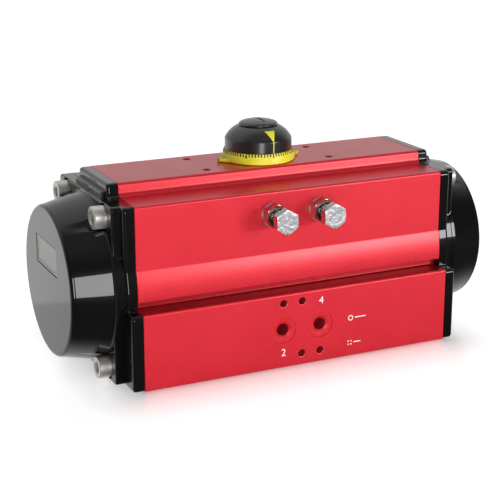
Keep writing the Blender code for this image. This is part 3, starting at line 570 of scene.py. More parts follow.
# The pale faces of bolt heads, with shallow dents from pressing.
PRESSED = surface(
    "pressed_steel", (0.72, 0.72, 0.74), 0.36, 0.75,
    tinted=(420.0, (0.60, 0.60, 0.62), (0.84, 0.84, 0.86)),
    roughened=(600.0, 0.28, 0.44), bumped=(420.0, 0.9, 0.0006))
STEEL = surface(
    "steel", (0.42, 0.41, 0.40), 0.35, 1.0,
    tinted=(300.0, (0.34, 0.33, 0.32), (0.48, 0.47, 0.46)),
    bumped=(900.0, 0.2, 0.00006, 3.0, (1.0, 1.0, 6.0)))
ALUMINIUM = surface(
    "cast_aluminium", (0.60, 0.60, 0.61), 0.5, 1.0,
    tinted=(220.0, (0.50, 0.50, 0.51), (0.68, 0.68, 0.69), 5.0),
    bumped=(800.0, 0.35, 0.00015, 5.0))
BEARING = surface(
    "bearing_plastic", (0.80, 0.78, 0.70), 0.45,
    tinted=(90.0, (0.74, 0.72, 0.64), (0.84, 0.82, 0.75)),
    bumped=(900.0, 0.15, 0.00006))
RUBBER = surface(
    "rubber", (0.02, 0.02, 0.02), 0.6,
    tinted=(200.0, (0.014, 0.014, 0.015), (0.028, 0.028, 0.027)),
    bumped=(1200.0, 0.2, 0.00006))
YELLOW = surface(
    "yellow_plastic", (1.0, 0.88, 0.05), 0.38, 0.0, 0.15, 0.2,
    tinted=(120.0, (0.99, 0.85, 0.04), (1.0, 0.92, 0.06)),
    bumped=(1100.0, 0.15, 0.00006))
BLACK = surface(
    "black_plastic", (0.014, 0.0125, 0.0125), 0.36, 0.0, 0.8, 0.17,
    tinted=(140.0, (0.011, 0.010, 0.010), (0.020, 0.018, 0.018), 4.0),
    roughened=(420.0, 0.30, 0.42), bumped=(1500.0, 0.15, 0.00006))
WHITE_INK = print_ink("white_ink", (0.88, 0.86, 0.85))
BLACK_INK = print_ink("black_ink", (0.02, 0.018, 0.016))


# ---------------------------------------------------------------- cylinder body

def body_corners(edge, lip=True):
    """The extruded section in (y, z), from the port block's foot up and round to the back."""
    bulge_top = math.degrees(math.acos(-FRONT_Y / BULGE_R))
    bulge_end = math.degrees(math.asin((BORE_Z - BULGE_END_Z) / BULGE_R))
    back_angle = math.degrees(math.acos(BACK_Y / BULGE_R))
    foot_y = UNDERCUT_Y if lip else -BULGE_R * math.cos(math.radians(bulge_end))
    corners = [(BLOCK_Y, 0.0, edge), (BLOCK_Y, BLOCK_TOP, edge + 0.3), (foot_y, BLOCK_TOP, 0.8)]
    if lip:
        corners.append((UNDERCUT_Y, BULGE_END_Z))
    bulge = arc((0, BORE_Z), BULGE_R, 180 + bulge_end, 180 - bulge_top, 20)
    corners += [(*bulge[0], 0.45)] + bulge[1:] if lip else bulge
    foot = RAIL_HALF + 0.4
    top = RAIL_HALF - 0.3
    top_edge = 1.9 if lip else edge
    corners += [(FRONT_Y, SHELF_Z, edge + 0.6), (-foot, SHELF_Z, RAIL_FILLET)]
    corners += [(-top, RAIL_TOP, top_edge), (top, RAIL_TOP, top_edge)]
    corners += [(foot, SHELF_Z, RAIL_FILLET), (BACK_Y, SHELF_Z, edge + 0.6)]
    corners += arc((0, BORE_Z), BULGE_R, back_angle, -back_angle, 40)
    corners += [(BACK_Y, 0.0, edge)]
    return corners


def threaded_drill(name, thread, mouth_r, chamfer):
    """A drill with a chamfered mouth and a V thread, whose mouth is at the origin."""
    minor_r, major_r, pitch = thread
    profile = [(0, 1.0), (mouth_r, 1.0), (mouth_r, 0.0), (minor_r, -chamfer)]
    for turn in range(int((HOLE_DEPTH - chamfer) / pitch) - 1):
        top = -chamfer - pitch * turn
        profile += [(minor_r, top - 0.1 * pitch), (major_r, top - 0.5 * pitch)]
        profile += [(major_r, top - 0.6 * pitch), (minor_r, top - 0.98 * pitch)]
    tip = -HOLE_DEPTH - 0.9
    profile += [(minor_r, -HOLE_DEPTH), (0.6, tip), (0, tip)]
    return turned(name, profile, 32)


def port_drill():
    """An air port: a shallow flat recess with a soft lip, a chamfer and the thread."""
    profile = [(0, 1.0), (8.1, 1.0), (8.1, 0.0), (7.95, -0.12), (7.8, -0.45), (5.3, -0.5), (5.1, -0.6)]
    profile += [(PORT_R, -1.5)]
    for turn in range(PORT_TURNS):
        top = -1.7 - PORT_PITCH * turn
        profile += [(PORT_R, top - 0.1), (PORT_GROOVE_R, top - 0.5)]
        profile += [(PORT_GROOVE_R, top - 0.65), (PORT_R, top - 1.05)]
    return turned("port_drill", profile + [(PORT_R, -PORT_DEPTH), (0, -PORT_DEPTH)], 48)


def front_drills():
    drills = [moved(port_drill(), at(across, BLOCK_Y, up) @ TO_FRONT) for across, up in PORTS]
    for across, up in VALVE_HOLES:
        drill = threaded_drill("valve_drill", VALVE_THREAD, M5_MOUTH_R, 0.35)
        drills.append(moved(drill, at(across, BLOCK_Y, up) @ TO_FRONT))
    return drills


def other_drills():
    drills = []
    for across, along in TOP_HOLES:
        drill = threaded_drill("top_drill", TOP_THREAD, M5_MOUTH_R, 0.45)
        drills.append(moved(drill, at(across, along, RAIL_TOP)))
    for offset, thread in ((FLANGE_WIDE, M8_THREAD), (FLANGE_NARROW, M6_THREAD)):
        for side, depth_side in QUADRANTS:
            drill = threaded_drill("flange_drill", thread, thread[1] + 0.3, 0.7)
            drills.append(moved(drill, at(side * offset, depth_side * offset, 0) @ TO_FLOOR))
    profile = [(0, 1), (SCREW_HOLE_R, 1), (SCREW_HOLE_R, -SCREW_HOLE_DEPTH), (0, -SCREW_HOLE_DEPTH)]
    for side, depth_side in QUADRANTS:
        for height in SCREW_Z:
            place = at(side * BODY_HALF, depth_side * SCREW_Y, height)
            drills.append(moved(turned("screw_drill", profile, 24), place @ outwards(side)))
    return drills


def stop_drills():
    drills = []
    profile = [(0, 1), (4.9, 1), (4.9, 0), (STOP_HOLE_R, -0.7)]
    profile += [(STOP_HOLE_R, -STOP_HOLE_DEPTH), (0, -STOP_HOLE_DEPTH)]
    for side in (-1, 1):
        place = at(side * STOP_X, FRONT_Y, STOP_Z) @ TO_FRONT
        drills.append(moved(turned("stop_drill", profile, 32), place))
    return drills


def shaft_line_drill():
    pocket_low, pocket_high = CAM_POCKET
    profile = [(0, RAIL_TOP + 1), (TOP_HOLE_R, RAIL_TOP + 1), (TOP_HOLE_R, pocket_high)]
    profile += [(CAM_POCKET_R, pocket_high), (CAM_POCKET_R, pocket_low), (TOP_HOLE_R, pocket_low)]
    profile += [(TOP_HOLE_R, IN_BORE_Z), (BOTTOM_HOLE_R, IN_BORE_Z), (BOTTOM_HOLE_R, SPIGOT_DEPTH)]
    profile += [(SPIGOT_R, SPIGOT_DEPTH), (SPIGOT_R, -1), (0, -1)]
    return turned("shaft_line", profile, 96)


def bore_drill():
    end = BODY_HALF + 1
    bore = turned("bore", [(0, end), (BORE_R, end), (BORE_R, -end), (0, -end)], 128)
    return moved(bore, at(0, 0, BORE_Z) @ TO_RIGHT)


def in_painted_shade(x, y, z):
    """Whether a place on the body is down a port, an M5 hole or the slot above the port block, where it gets
    the darker red of painted shade.
    """
    from_port = min(math.hypot(x - across, z - up) for across, up in PORTS)
    from_valve_hole = min(math.hypot(x - across, z - up) for across, up in VALVE_HOLES)
    in_port = from_port < PORT_GROOVE_R + 0.3 and y > BLOCK_Y + 1.55
    in_valve_hole = from_valve_hole < M5_MOUTH_R + 0.25 and y > BLOCK_Y + 0.2
    in_top_hole = SHELF_Z < z < RAIL_TOP - 0.7 and abs(y) < 16.0
    in_slot = BLOCK_TOP - 0.1 < z < BULGE_END_Z + 0.1 and BLOCK_Y + 2.5 < y < UNDERCUT_Y + 0.5
    return in_port or in_valve_hole or in_top_hole or in_slot


def make_body():
    """The extrusion, with broken edges at both sawn ends, its bore and all its holes."""
    outline = rounded(body_corners(0.9))
    broken = 0.2
    ends = inset(outline, broken)
    rings = []
    for flat, along in ((ends, -BODY_HALF), (outline, broken - BODY_HALF),
                        (outline, BODY_HALF - broken), (ends, BODY_HALF)):
        rings.append([(y, z, along) for y, z in flat])
    body = moved(loft("cylinder_shell", rings), TO_RIGHT)
    cut(body, bore_drill(), shaft_line_drill(), gathered("stop_drills", stop_drills()))
    cut(body, gathered("front_drills", front_drills()), gathered("other_drills", other_drills()))
    show(body, RED, "housing", "red_anodised", "cylinder_body")
    # Painted shade: the holes and the slot above the port block get the darker red.
    body.data.materials.append(RECESS_SHADE_RED)
    for polygon in body.data.polygons:
        polygon.material_index = int(in_painted_shade(*(value / MM for value in polygon.center)))


# ---------------------------------------------------------------- end caps

def step_corners():
    """The cap's inset flange: a circle round the bore with the corners of a rectangle."""
    corner = math.degrees(math.acos(STEP_HALF / STEP_R))
    top = SHELF_Z - 0.3
    corners = [(-STEP_HALF, 0.3, 2.2)]
    corners += arc((0, BORE_Z), STEP_R, 180 + corner, 180 - corner, 28)
    corners += [(-STEP_HALF, top, 2.4), (STEP_HALF, top, 2.4)]
    corners += arc((0, BORE_Z), STEP_R, corner, -corner, 28)
    corners += [(STEP_HALF, 0.3, 2.2)]
    return corners


def cone_profile():
    corners = [(0, CAP_END), (CONE_END_R - 0.3, CAP_END, 2.2), (CONE_END_R, CAP_END - 2.8, 0.4)]
    corners += [(CONE_R, STEP_X, 1.3), (STEP_R + 0.4, STEP_X)]
    corners += [(STEP_R + 0.4, STEP_X - 2), (0, STEP_X - 2)]
    return rounded(corners, 6, closed=False)


def plate_outline(shrink, radius):
    half_width = PLATE[0] / 2 - shrink
    half_height = PLATE[1] / 2 - shrink
    corners = [(-half_width, -half_height, radius), (half_width, -half_height, radius)]
    corners += [(half_width, half_height, radius), (-half_width, half_height, radius)]
    return rounded(corners, 4)


def make_cap_mesh():
    """The right-hand cap: two stepped flanges, the rail's step and the coned end."""
    cap = prism("cap", rounded(body_corners(2.4, lip=False)), CAP_FACE, FLANGE_X, 1.9)
    step = prism("step", rounded(step_corners()), CAP_FACE + 2, STEP_X, 1.0)
    rail_half = RAIL_HALF - 1.5
    rail_corners = [(-rail_half, 90), (rail_half, 90), (rail_half, RAIL_STEP_TOP, 1.6)]
    rail_corners += [(-rail_half, RAIL_STEP_TOP, 1.6)]
    rail_step = prism("rail_step", rounded(rail_corners), CAP_FACE + 3, RAIL_STEP_X, 0.9)
    cone = moved(turned("cone", cone_profile(), 128), at(0, BORE_Z, 0))
    join(cap, step, rail_step, cone)
    corners = [(0, CAVITY_END), (CAVITY_R - 3, CAVITY_END, 3.0), (CAVITY_R, CAP_FACE - 1), (0, CAP_FACE - 1)]
    cavity = turned("cavity", rounded(corners, 5, closed=False), 96)
    cut(cap, moved(cavity, at(0, BORE_Z, 0)))
    drills = []
    profile = [(0, 30), (COUNTERBORE_R, 30), (COUNTERBORE_R, 0.4), (COUNTERBORE_R - 0.4, 0)]
    profile += [(SCREW_HOLE_R, 0), (SCREW_HOLE_R, -12), (0, -12)]
    for across in (-SCREW_Y, SCREW_Y):
        for height in SCREW_Z:
            drills.append(moved(turned("drill", profile, 48), at(across, height, SCREW_SEAT)))
    cut(cap, gathered("drills", drills))
    recess = prism("recess", plate_outline(0.0, 0.7), CAP_END - PLATE_RECESS, CAP_END + 1)
    cut(cap, moved(recess, at(0, PLATE_Z, 0)))
    return cap


def make_caps():
    pattern = make_cap_mesh()
    for side_name, side in SIDES:
        mirror = Matrix.Scale(side, 4, (1, 0, 0))
        cap = placed_copy(pattern, "end_cap_shell_" + side_name, mirror @ TO_RIGHT)
        show(cap, GLOSS, "housing", "black_gloss", "end_cap_" + side_name)
    bpy.data.objects.remove(pattern, do_unlink=True)


def make_plates():
    """Blank plates sunk in the end faces, each with a raised rim."""
    for side_name, side in SIDES:
        floor = CAP_END - PLATE_RECESS + 0.1
        plate = prism("blank_plate_" + side_name, plate_outline(0.45, 0.6), floor, CAP_END - 0.15, 0.25)
        cut(plate, prism("field", plate_outline(1.9, 0.4), CAP_END - 0.4, CAP_END + 1))
        moved(plate, outwards(side) @ at(0, PLATE_Z, 0))
        show(plate, PLATE_METAL, "housing", "stainless", "rating_plate_" + side_name)


# ---------------------------------------------------------------- fasteners

def socket_screw_mesh():
    """An M8 socket head screw with its seat at the origin and its head towards +Z."""
    corners = [(0, SCREW_HEAD), (SCREW_HEAD_R, SCREW_HEAD, 0.7), (SCREW_HEAD_R, 0.0, 0.25)]
    corners += [(3.9, 0.0), (3.9, -29.0), (3.0, -30.0), (0, -30.0)]
    screw = turned("screw", rounded(corners, 5, closed=False), 64)
    socket = prism("socket", regular(6, 6.0), 4.0, 9.0)
    mouth = turned("mouth", [(0, 9.0), (3.9, 9.0), (3.9, 8.0), (3.2, 7.4), (0, 7.4)], 48)
    cut(screw, socket, mouth)
    return screw


def split_washer_mesh():
    """A spring washer: a square wire that climbs a little round its turn."""
    inner_r, outer_r, thick, climb, steps = 4.2, 6.2, 1.35, 0.3, 60
    rings = []
    for step in range(steps + 1):
        share = step / steps
        angle = math.radians(6 + 348 * share)
        low = climb * share
        section = [(inner_r, low), (outer_r, low), (outer_r, low + thick), (inner_r, low + thick)]
        rings.append([(r * math.cos(angle), r * math.sin(angle), h) for r, h in section])
    return loft("washer", rings)


def make_cap_fasteners():
    screw = socket_screw_mesh()
    washer = split_washer_mesh()
    corners = {"front_bottom": (-1, 0), "front_top": (-1, 1), "back_bottom": (1, 0), "back_top": (1, 1)}
    spin = 0.0                # each screw has stopped at a different angle
    for side_name, side in SIDES:
        for corner, (depth_side, level) in corners.items():
            label = side_name + "_" + corner
            low, high = span("cap_screw_" + label, 0)
            head_seat = high - SCREW_HEAD if side > 0 else low + SCREW_HEAD
            spin += 0.7
            turn = outwards(side) @ Matrix.Rotation(spin, 4, "Z")
            across, height = depth_side * SCREW_Y, SCREW_Z[level]
            piece = placed_copy(screw, "socket_screw_" + label, at(head_seat, across, height) @ turn)
            show(piece, SCREW_STEEL, "housing", "stainless", "cap_screw_" + label)
            washer_seat = side * (SCREW_SEAT + 0.15)
            piece = placed_copy(washer, "split_washer_" + label, at(washer_seat, across, height) @ turn)
            show(piece, STAINLESS, "housing", "stainless", "spring_washer_" + label)
    bpy.data.objects.remove(screw, do_unlink=True)
    bpy.data.objects.remove(washer, do_unlink=True)


def chamfered_hexagon(name, flats, low, high, turn, both):
    """A hexagon whose corners are turned off at 30 degrees, at its top or at both ends."""
    body = prism(name, regular(6, flats, turn), low, high)
    corner_r = flats / 2 / math.cos(math.pi / 6) + 0.2
    face_r = flats / 2 + (0.45 if both else -0.25)
    drop = (corner_r - face_r) * math.tan(math.radians(30))
    profile = [(0, high), (face_r, high), (corner_r, high - drop)]
    if both:
        profile += [(corner_r, low + drop), (face_r, low), (0, low)]
    else:
        profile += [(corner_r, low - 1), (0, low - 1)]
    combine(body, turned("turning", profile, 96), "INTERSECT")
    return body


def threaded_rod(name, radius, pitch, depth, low, high, segments=40):
    """A rod with a helical V thread and a chamfered tip at its low end."""
    rows_per_turn = 5
    rows = int((high - low) / pitch * rows_per_turn)
    rings = []
    for row in range(rows + 1):
        height = low + (high - low) * row / rows
        points = []
        for index in range(segments):
            angle = TAU * index / segments
            phase = (height / pitch - index / segments) % 1.0
            groove = depth * abs(2 * phase - 1) ** 0.8
            r = min(radius - groove, radius - 1.1 + (height - low))
            points.append((r * math.cos(angle), r * math.sin(angle), height))
        rings.append(points)
    return loft(name, rings)


def head_marks(face):
    """Three short raised bars round a bolt head's face, as strength marks are set."""
    marks = []
    for step in range(3):
        outline = rounded([(-0.25, 3.0, 0.2), (0.25, 3.0, 0.2), (0.25, 4.9, 0.2), (-0.25, 4.9, 0.2)], 3)
        mark = prism("mark", outline, face - 0.3, face + DISH)
        marks.append(moved(mark, Matrix.Rotation(math.radians(40 + 120 * step), 4, "Z")))
    return marks


def make_stop_bolt(side_name, centre):
    """A hexagon head with a shallow dish and raised marks, on a threaded rod."""
    name = "stop_screw_" + side_name
    face = -STOP_FACE - DISH
    head_back = face - HEX_HEAD
    head = chamfered_hexagon(name, HEX_FLATS, head_back, face, 30.0, False)
    dish = [(0, face + 1), (5.0, face + 1), (5.0, face), (4.4, face - DISH), (0, face - DISH)]
    cut(head, turned("dish", dish, 64))
    rod = threaded_rod("rod", STOP_ROD_R, M8_THREAD[2], 0.62, -STOP_TIP, head_back + 0.5)
    bolt = moved(gathered(name, [head, rod] + head_marks(face - DISH)), centre)
    show(bolt, BRIGHT, side_name + "_stop_bolt", "stainless", "stop_bolt_" + side_name)
    bolt.data.materials.append(PRESSED)
    for polygon in bolt.data.polygons:
        on_face = polygon.center.y / MM < STOP_FACE + 0.6 and abs(polygon.normal.y) > 0.5
        polygon.material_index = int(on_face)


def make_lock_nut(side_name, centre):
    low, high = -NUT_BACK, -NUT_FACE
    nut = chamfered_hexagon("hex_nut_" + side_name, HEX_FLATS, low, high, NUT_TURN, True)
    hole = [(0, high + 1), (5.5, high + 1), (5.5, high), (4.12, high - 1.3)]
    hole += [(4.12, low + 0.8), (4.9, low), (4.9, low - 1), (0, low - 1)]
    cut(nut, turned("hole", hole, 48))
    show(moved(nut, centre), BRIGHT, "housing", "stainless", "lock_nut_" + side_name)


def make_stop_washer(side_name, centre):
    outer_r, inner_r = 6.9, 4.2
    corners = [(outer_r, -WASHER_FACE, 0.35), (outer_r, -WASHER_BACK, 0.2)]
    corners += [(inner_r, -WASHER_BACK, 0.2), (inner_r, -WASHER_FACE, 0.2)]
    washer = turned("flat_washer_" + side_name, rounded(corners, 4), 64, looped=True)
    show(moved(washer, centre), SCREW_STEEL, "housing", "stainless", "stop_washer_" + side_name)


def make_stops():
    for side_name, side in SIDES:
        centre = at(side * STOP_X, 0, STOP_Z) @ TO_FRONT
        make_stop_bolt(side_name, centre)
        make_lock_nut(side_name, centre)
        make_stop_washer(side_name, centre)


# ---------------------------------------------------------------- position indicator

def ring_slope():
    """(radius, height) at the foot and the top of the scale ring's conical face."""
    return (RING_R, RING_LOW + 1.0), (RING_TOP_R, RING_HIGH)


def make_scale():
    foot, top = ring_slope()
    corners = [(top[0], top[1], 0.12), (foot[0], foot[1], 0.6), (foot[0], RING_LOW, 0.3)]
    corners += [(RING_INNER_R, RING_LOW), (RING_INNER_R, top[1], 0.2)]
    scale = turned("scale_collar", rounded(corners, 4), 144, looped=True)
    tip = EAR_TIP - 0.1
    for side in (-1, 1):
        half = [(*EAR_ROOT,), (*EAR_SHOULDER, 3.0), (tip, EAR_TIP_HALF, 0.7)]
        ear = [(side * across, -along, *edge) for across, along, *edge in half]
        ear += [(side * across, along, *edge) for across, along, *edge in reversed(half)]
        join(scale, prism("ear", rounded(ear, 5), RING_LOW + 0.1, RING_LOW + 2.2, 0.5, both=True))
    show(scale, YELLOW, "scale", "yellow_plastic", "scale_ring")


def make_ticks():
    """Raised black marks every 5 degrees round the ring's upper edge, longer every 45."""
    foot, top = ring_slope()
    proud = 0.05
    half = 0.40
    bars = []
    for index in range(TICKS):
        reach = 0.46 if index % TICKS_PER_LONG == 0 else 0.32
        centre = TAU * index / TICKS
        outer = (top[0] + (foot[0] - top[0]) * reach, top[1] + (foot[1] - top[1]) * reach)
        corners = []
        for lift in (-0.15, proud):
            for radius, height in (outer, (top[0], top[1] - 0.03)):
                for across in (-half, half):
                    angle = centre + across / radius
                    out = radius + lift
                    corners.append((out * math.cos(angle), out * math.sin(angle), height + lift * 0.3))
        faces = [(0, 1, 3, 2), (4, 5, 7, 6), (0, 1, 5, 4), (2, 3, 7, 6), (0, 2, 6, 4), (1, 3, 7, 5)]
        bars.append(new_object("tick", corners, faces))
    show(gathered("scale_ticks", bars), BLACK_INK, "scale", "black_plastic")


def dome_profile():
    """The outside of the indicator's dome, from its wall's foot up, as (radius, height) points."""
    corners = [(DOME_R, WALL_LOW), (DOME_R, SHOULDER, 1.5), (16.9, 129.1, 16.0)]
    corners += [(DOME_FLAT_R + 0.2, DOME_HIGH, 0.9), (DOME_FLAT_R - 1.5, DOME_HIGH)]
    return rounded(corners, 7, closed=False)


def make_dome():
    inside = [(5.8, DOME_HIGH), (5.8, 129.2), (3.4, 129.2), (3.4, 127.0), (9.8, 127.0), (9.8, 117.2)]
    inside += [(12.6, 117.2), (12.6, 122.7), (SKIRT_INNER_R, 122.7), (SKIRT_INNER_R, DOME_LOW)]
    inside += [(SKIRT_R, DOME_LOW), (SKIRT_R, WALL_LOW)]
    dome = turned("dome_shell", dome_profile() + inside, 144, looped=True)
    show(dome, BLACK, "drive", "black_plastic", "indicator_dome")


def make_disc():
    """The dome's raised centre disc, with a plain bar across it."""
    corners = [(0.3, DISC_HIGH), (3.0, DISC_HIGH - 0.1), (6.0, DISC_HIGH - 0.4), (8.4, DISC_HIGH - 0.85)]
    corners += [(DISC_R - 1.2, DISC_HIGH - 1.5, 1.5), (DISC_R, DISC_HIGH - 2.4, 0.6)]
    corners += [(DISC_R, DISC_LOW, 0.25), (0, DISC_LOW)]
    disc = turned("dome_disc", rounded(corners, 6, closed=False), 128)
    bar = rounded([(-1.5, -7.0, 1.4), (1.5, -7.0, 1.4), (1.5, 7.0, 1.4), (-1.5, 7.0, 1.4)], 6)
    cut(disc, prism("groove", bar, DISC_HIGH - 1.2, DISC_HIGH + 1))
    join(disc, prism("island", inset(bar, 0.55), DISC_HIGH - 1.6, DISC_HIGH - 0.45, 0.25))
    show(disc, BLACK, "drive", "black_plastic", "indicator_cap")


def along_profile(profile, distance):
    """The point and the outward normal at a distance along a (radius, height) profile."""
    for start, end in zip(profile, profile[1:]):
        across, up = end[0] - start[0], end[1] - start[1]
        length = math.hypot(across, up)
        if distance <= length:
            share = distance / length
            return (start[0] + across * share, start[1] + up * share), (up / length, -across / length)
        distance -= length
    raise ValueError("the profile is too short")


def make_pointer():
    """A flag that lies on the dome at -Y and narrows to a line down its wall."""
    profile = dome_profile()
    foot = 0.05               # how far along the dome's outline the line starts
    line_end = SHOULDER + 0.5 - WALL_LOW
    flag_end = line_end + FLAG
    rows, columns = 46, 9
    points = []
    for lift, share in ((-0.1, 1.0), (0.22, 0.9)):
        for row in range(rows):
            distance = foot + (flag_end - foot) * row / (rows - 1)
            flare = max(0.0, (distance - line_end) / FLAG)
            half = (LINE_HALF + FLARE * flare) * share
            (radius, height), (out, up) = along_profile(profile, distance)
            r = radius + out * lift
            for column in range(columns):
                across = half * (2 * column / (columns - 1) - 1)
                angle = across / radius - math.pi / 2 + POINTER_LEAN
                points.append((r * math.cos(angle), r * math.sin(angle), height + up * lift))
    layer_size = rows * columns
    faces = []
    for row in range(rows - 1):
        for column in range(columns - 1):
            corner = row * columns + column
            bottom = (corner, corner + 1, corner + columns + 1, corner + columns)
            faces.append(bottom)
            faces.append(tuple(index + layer_size for index in bottom))
    rim = [row * columns for row in range(rows)]
    rim += [(rows - 1) * columns + column for column in range(1, columns)]
    rim += [row * columns + columns - 1 for row in range(rows - 2, -1, -1)]
    rim += [column for column in range(columns - 2, 0, -1)]
    for first, second in zip(rim, rim[1:] + rim[:1]):
        faces.append((first, second, second + layer_size, first + layer_size))
    show(new_object("flag_pointer", points, faces), YELLOW, "drive", "yellow_plastic", "indicator_pointer")


# ---------------------------------------------------------------- springs and printed marks

def make_spring(name, node, side):
    """A round-wire compression spring with closed ends."""
    low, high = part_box(node)
    wire_r = SPRING_WIRE_R
    coil_r = (high.y - low.y) / MM / 2 - wire_r
    across = (high.y + low.y) / MM / 2
    height = (high.z + low.z) / MM / 2
    inner, outer = sorted((abs(low.x) / MM, abs(high.x) / MM))
    inner += wire_r
    outer -= wire_r
    per_turn, sides = 28, 12
    steps = SPRING_TURNS * per_turn
    rings = []
    for step in range(steps + 1):
        share = step / steps
        closing = 0.5 - 0.5 * math.cos(math.pi * share)
        travel = 0.55 * share + 0.45 * closing
        angle = TAU * SPRING_TURNS * share
        along = inner + (outer - inner) * travel
        outward = Vector((0, math.cos(angle), math.sin(angle)))
        centre = Vector((side * along, across, height)) + coil_r * outward
        points = []
        for index in range(sides):
            turn = TAU * index / sides
            offset = outward * (wire_r * math.cos(turn)) + Vector((side * wire_r * math.sin(turn), 0, 0))
            points.append(tuple(centre + offset))
        rings.append(points)
    return loft(name, rings)


def make_springs():
    for side_name, side in SIDES:
        for number in range(1, 4):
            node = "return_spring_" + side_name + "_" + str(number)
            spring = make_spring("coil_spring_" + side_name + "_" + str(number), node, side)
            show(spring, STEEL, "housing", "steel", node)
            spring.modifiers.clear()
            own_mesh(spring)


def print_on_front(name, shapes, across, up):
    """Flat white shapes that stand a twentieth of a millimetre proud of the port block's face."""
    mark = moved(gathered(name, shapes), at(across, BLOCK_Y, up) @ TO_FRONT)
    show(mark, WHITE_INK, "housing", "red_anodised")


def flat_bar(start, end):
    outline = [(start, -BAR_HALF), (end, -BAR_HALF), (end, BAR_HALF), (start, BAR_HALF)]
    return prism("bar", outline, -INK_HALF, INK_HALF)


def digit(text, height):
    """A plain number as a flat mesh, centred on the origin."""
    curve = bpy.data.curves.new("digit", "FONT")
    curve.body = text
    curve.size = height / 0.7 * MM
    curve.align_x = "CENTER"
    curve.align_y = "CENTER"
    curve.extrude = INK_HALF * MM
    curve.resolution_u = 6
    letter = linked("digit_curve", curve)
    mesh = evaluated_mesh(letter)
    shape = bmesh.new()
    shape.from_mesh(mesh)
    bmesh.ops.remove_doubles(shape, verts=shape.verts, dist=WELD)
    bmesh.ops.recalc_face_normals(shape, faces=shape.faces)
    shape.to_mesh(mesh)
    shape.free()
    bpy.data.objects.remove(letter, do_unlink=True)
    return linked("digit", mesh)


def small_ring(outer_r, inner_r, across):
    corners = [(outer_r, INK_HALF), (outer_r, -INK_HALF), (inner_r, -INK_HALF), (inner_r, INK_HALF)]
    return moved(turned("small_ring", corners, 32, looped=True), at(across, 0, 0))


def make_prints():
    print_on_front("print_port_2", [digit("2", 4.4)], -12.0, 9.2)
    print_on_front("print_port_4", [digit("4", 4.4)], 12.3, 37.8)
    ring_mark = [small_ring(1.7, 1.15, 1.8), flat_bar(4.6, 12.0)]
    print_on_front("print_port_size", ring_mark, 30.2, 24.0)
    dots = []
    for across in (0.5, 2.4):
        for up in (-1.0, 1.0):
            dots.append(prism("dot", arc((across, up), 0.45, 0, 345, 24), -INK_HALF, INK_HALF))
    dots.append(flat_bar(4.0, 8.8))
    print_on_front("print_hole_size", dots, 30.2, 8.6)


# ---------------------------------------------------------------- carried-over CAD nodes

def paint_frame():
    """Gives the CAD nodes that stay their finished materials."""
    families = (
        (STEEL, ("pinion_shaft", "stop_cam", "shaft_circlip")),
        (STAINLESS, ("indicator_screw", "thrust_washer")),
        (ALUMINIUM, ("piston_left", "piston_right")),
        (BEARING, ("shaft_bush_bottom", "shaft_bush_top", "thrust_bearing", "piston_band_left",
                   "piston_band_right", "guide_pad_left", "guide_pad_right")),
        (RUBBER, ("piston_seal_left", "piston_seal_right", "cap_seal_left", "cap_seal_right",
                  "shaft_seal_bottom", "shaft_seal_top")),
    )
    for material, names in families:
        for name in names:
            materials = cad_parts[name].data.materials
            materials.clear()
            materials.append(material)


# ---------------------------------------------------------------- studio

def direction_parts(tree, kind):
    """The X, Y and Z outputs of one kind of texture coordinate."""
    coordinate = tree.nodes.new("ShaderNodeTexCoord")
    parts = tree.nodes.new("ShaderNodeSeparateXYZ")
    tree.links.new(coordinate.outputs[kind], parts.inputs[0])
    return parts.outputs


def floor_glow(material):
    """The paper's glow, which weakens in the object's shade, close to the body's foot."""
    tree = material.node_tree
    step = functools.partial(arithmetic, tree)
    parts = direction_parts(tree, "Object")
    low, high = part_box("cylinder_body")
    squares = []
    for axis, name in enumerate("XY"):
        from_middle = step("SUBTRACT", parts[name], (low[axis] + high[axis]) / 2)
        gap = step("SUBTRACT", step("ABSOLUTE", from_middle), (high[axis] - low[axis]) / 2)
        gap = step("MAXIMUM", gap, 0.0)
        squares.append(step("MULTIPLY", gap, gap))
    distance = step("SQRT", step("ADD", *squares))
    glow = step("ADD", step("MULTIPLY", step("SQRT", distance), GLOW_RISE), GLOW_AT_FOOT)
    shader = shader_of(material)
    shader.inputs["Emission Color"].default_value = (1.0, 1.0, 1.0, 1.0)
    tree.links.new(step("MINIMUM", glow, GLOW), shader.inputs["Emission Strength"])


def make_floor():
    low = cad_low.z / MM - 0.2
    corners = ((-1, -1), (1, -1), (1, 1), (-1, 1))
    points = [(across * FLOOR_HALF, along * FLOOR_HALF, low) for across, along in corners]
    floor = new_object("floor", points, [(0, 1, 2, 3)])
    if floor.data.polygons[0].normal.z < 0:
        floor.data.flip_normals()
    paper = new_material("paper", (0.93, 0.92, 0.92), 0.24)
    tint(paper, 6.0, (0.92, 0.91, 0.91), (0.94, 0.935, 0.93))
    shader_of(paper).inputs["Specular IOR Level"].default_value = 1.0
    floor_glow(paper)
    floor.data.materials.append(paper)
    floor.visible_glossy = False
    floor.visible_shadow = False


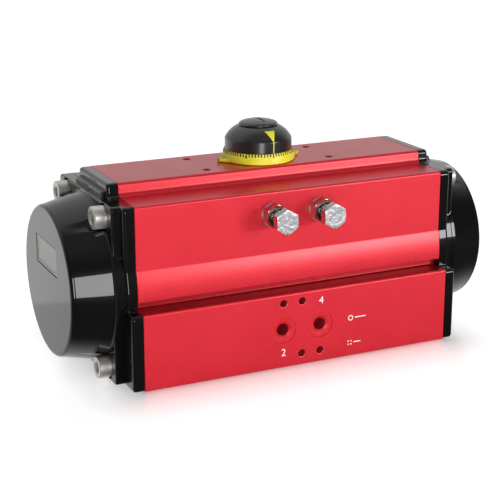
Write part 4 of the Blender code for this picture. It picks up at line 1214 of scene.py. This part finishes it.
def make_world():
    """White behind and above, dark in front of the object, and plain white to the camera."""
    world = bpy.data.worlds.new("studio")
    bpy.context.scene.world = world
    world.use_nodes = True
    tree = world.node_tree
    parts = direction_parts(tree, "Generated")
    blend_of = functools.partial(ramp_between, tree, kind="SMOOTHSTEP")
    strength = blend_of(parts["Y"], -0.25, 0.35, 0.05, 0.59)
    low_glow = blend_of(parts["Z"], -0.12, 0.06, 1.35, 1.0)
    table = blend_of(parts["Z"], -0.326, -0.322, 0.70, 1.0)
    above = blend_of(parts["Z"], 0.45, 0.9, 0.0, 0.16)
    rays = tree.nodes.new("ShaderNodeLightPath")
    less_diffuse = blend_of(rays.outputs["Is Diffuse Ray"], 0.0, 1.0, 1.0, 0.4)
    for operation, value in (("MULTIPLY", low_glow), ("MULTIPLY", table), ("ADD", above),
                             ("MULTIPLY", less_diffuse)):
        strength = arithmetic(tree, operation, strength, value)
    seen = tree.nodes.new("ShaderNodeMix")
    tree.links.new(rays.outputs["Is Camera Ray"], seen.inputs["Factor"])
    tree.links.new(strength, seen.inputs["A"])
    seen.inputs["B"].default_value = 1.0
    background = tree.nodes["Background"]
    tree.links.new(seen.outputs["Result"], background.inputs["Strength"])
    background.inputs["Color"].default_value = (1.0, 1.0, 1.0, 1.0)


def aimed(name, data, centre, azimuth, elevation, distance):
    """A lamp or camera that faces a centre. Azimuth 0 is in front of it, and 90 to its right."""
    a, e = math.radians(azimuth), math.radians(elevation)
    away = Vector((math.sin(a) * math.cos(e), -math.cos(a) * math.cos(e), math.sin(e)))
    obj = linked(name, data)
    obj.location = Vector(centre) + away * distance
    obj.rotation_mode = "QUATERNION"
    obj.rotation_quaternion = away.to_track_quat("Z", "Y")
    return obj


def softbox(name, azimuth, elevation, distance, width, height, radiance):
    """An area light, in metres and watts per square metre and steradian."""
    light = bpy.data.lights.new(name, "AREA")
    light.shape = "RECTANGLE"
    light.size = width
    light.size_y = height
    light.energy = radiance * math.pi * width * height
    obj = aimed(name, light, (0, 0, 0.06), azimuth, elevation, distance)
    obj.visible_camera = False
    return obj


def make_lights():
    softbox("key_light", 31.0, 9.5, distance=1.5, width=0.52, height=0.41, radiance=9.2)
    softbox("front_light", -13.0, 2.5, distance=1.25, width=0.33, height=0.62, radiance=6.3)
    fill = softbox("fill_light", 2.0, 2.0, distance=1.8, width=1.6, height=0.9, radiance=2.05)
    fill.visible_glossy = False


def make_camera():
    lens = bpy.data.cameras.new("camera")
    lens.lens = FOCAL_LENGTH
    lens.sensor_width = 36.0
    lens.clip_start = 0.05
    lens.clip_end = 50.0
    place = (CAMERA_AIM, CAMERA_AZIMUTH, CAMERA_ELEVATION, CAMERA_DISTANCE)
    bpy.context.scene.camera = aimed("camera", lens, *place)


# ---------------------------------------------------------------- the object

make_body()
make_caps()
make_plates()
make_cap_fasteners()
make_stops()
make_scale()
make_ticks()
make_dome()
make_disc()
make_pointer()
make_springs()
make_prints()
paint_frame()
make_floor()
make_world()
make_lights()
make_camera()
bpy.context.scene.view_settings.view_transform = "Standard"
bpy.context.scene.view_settings.look = "None"
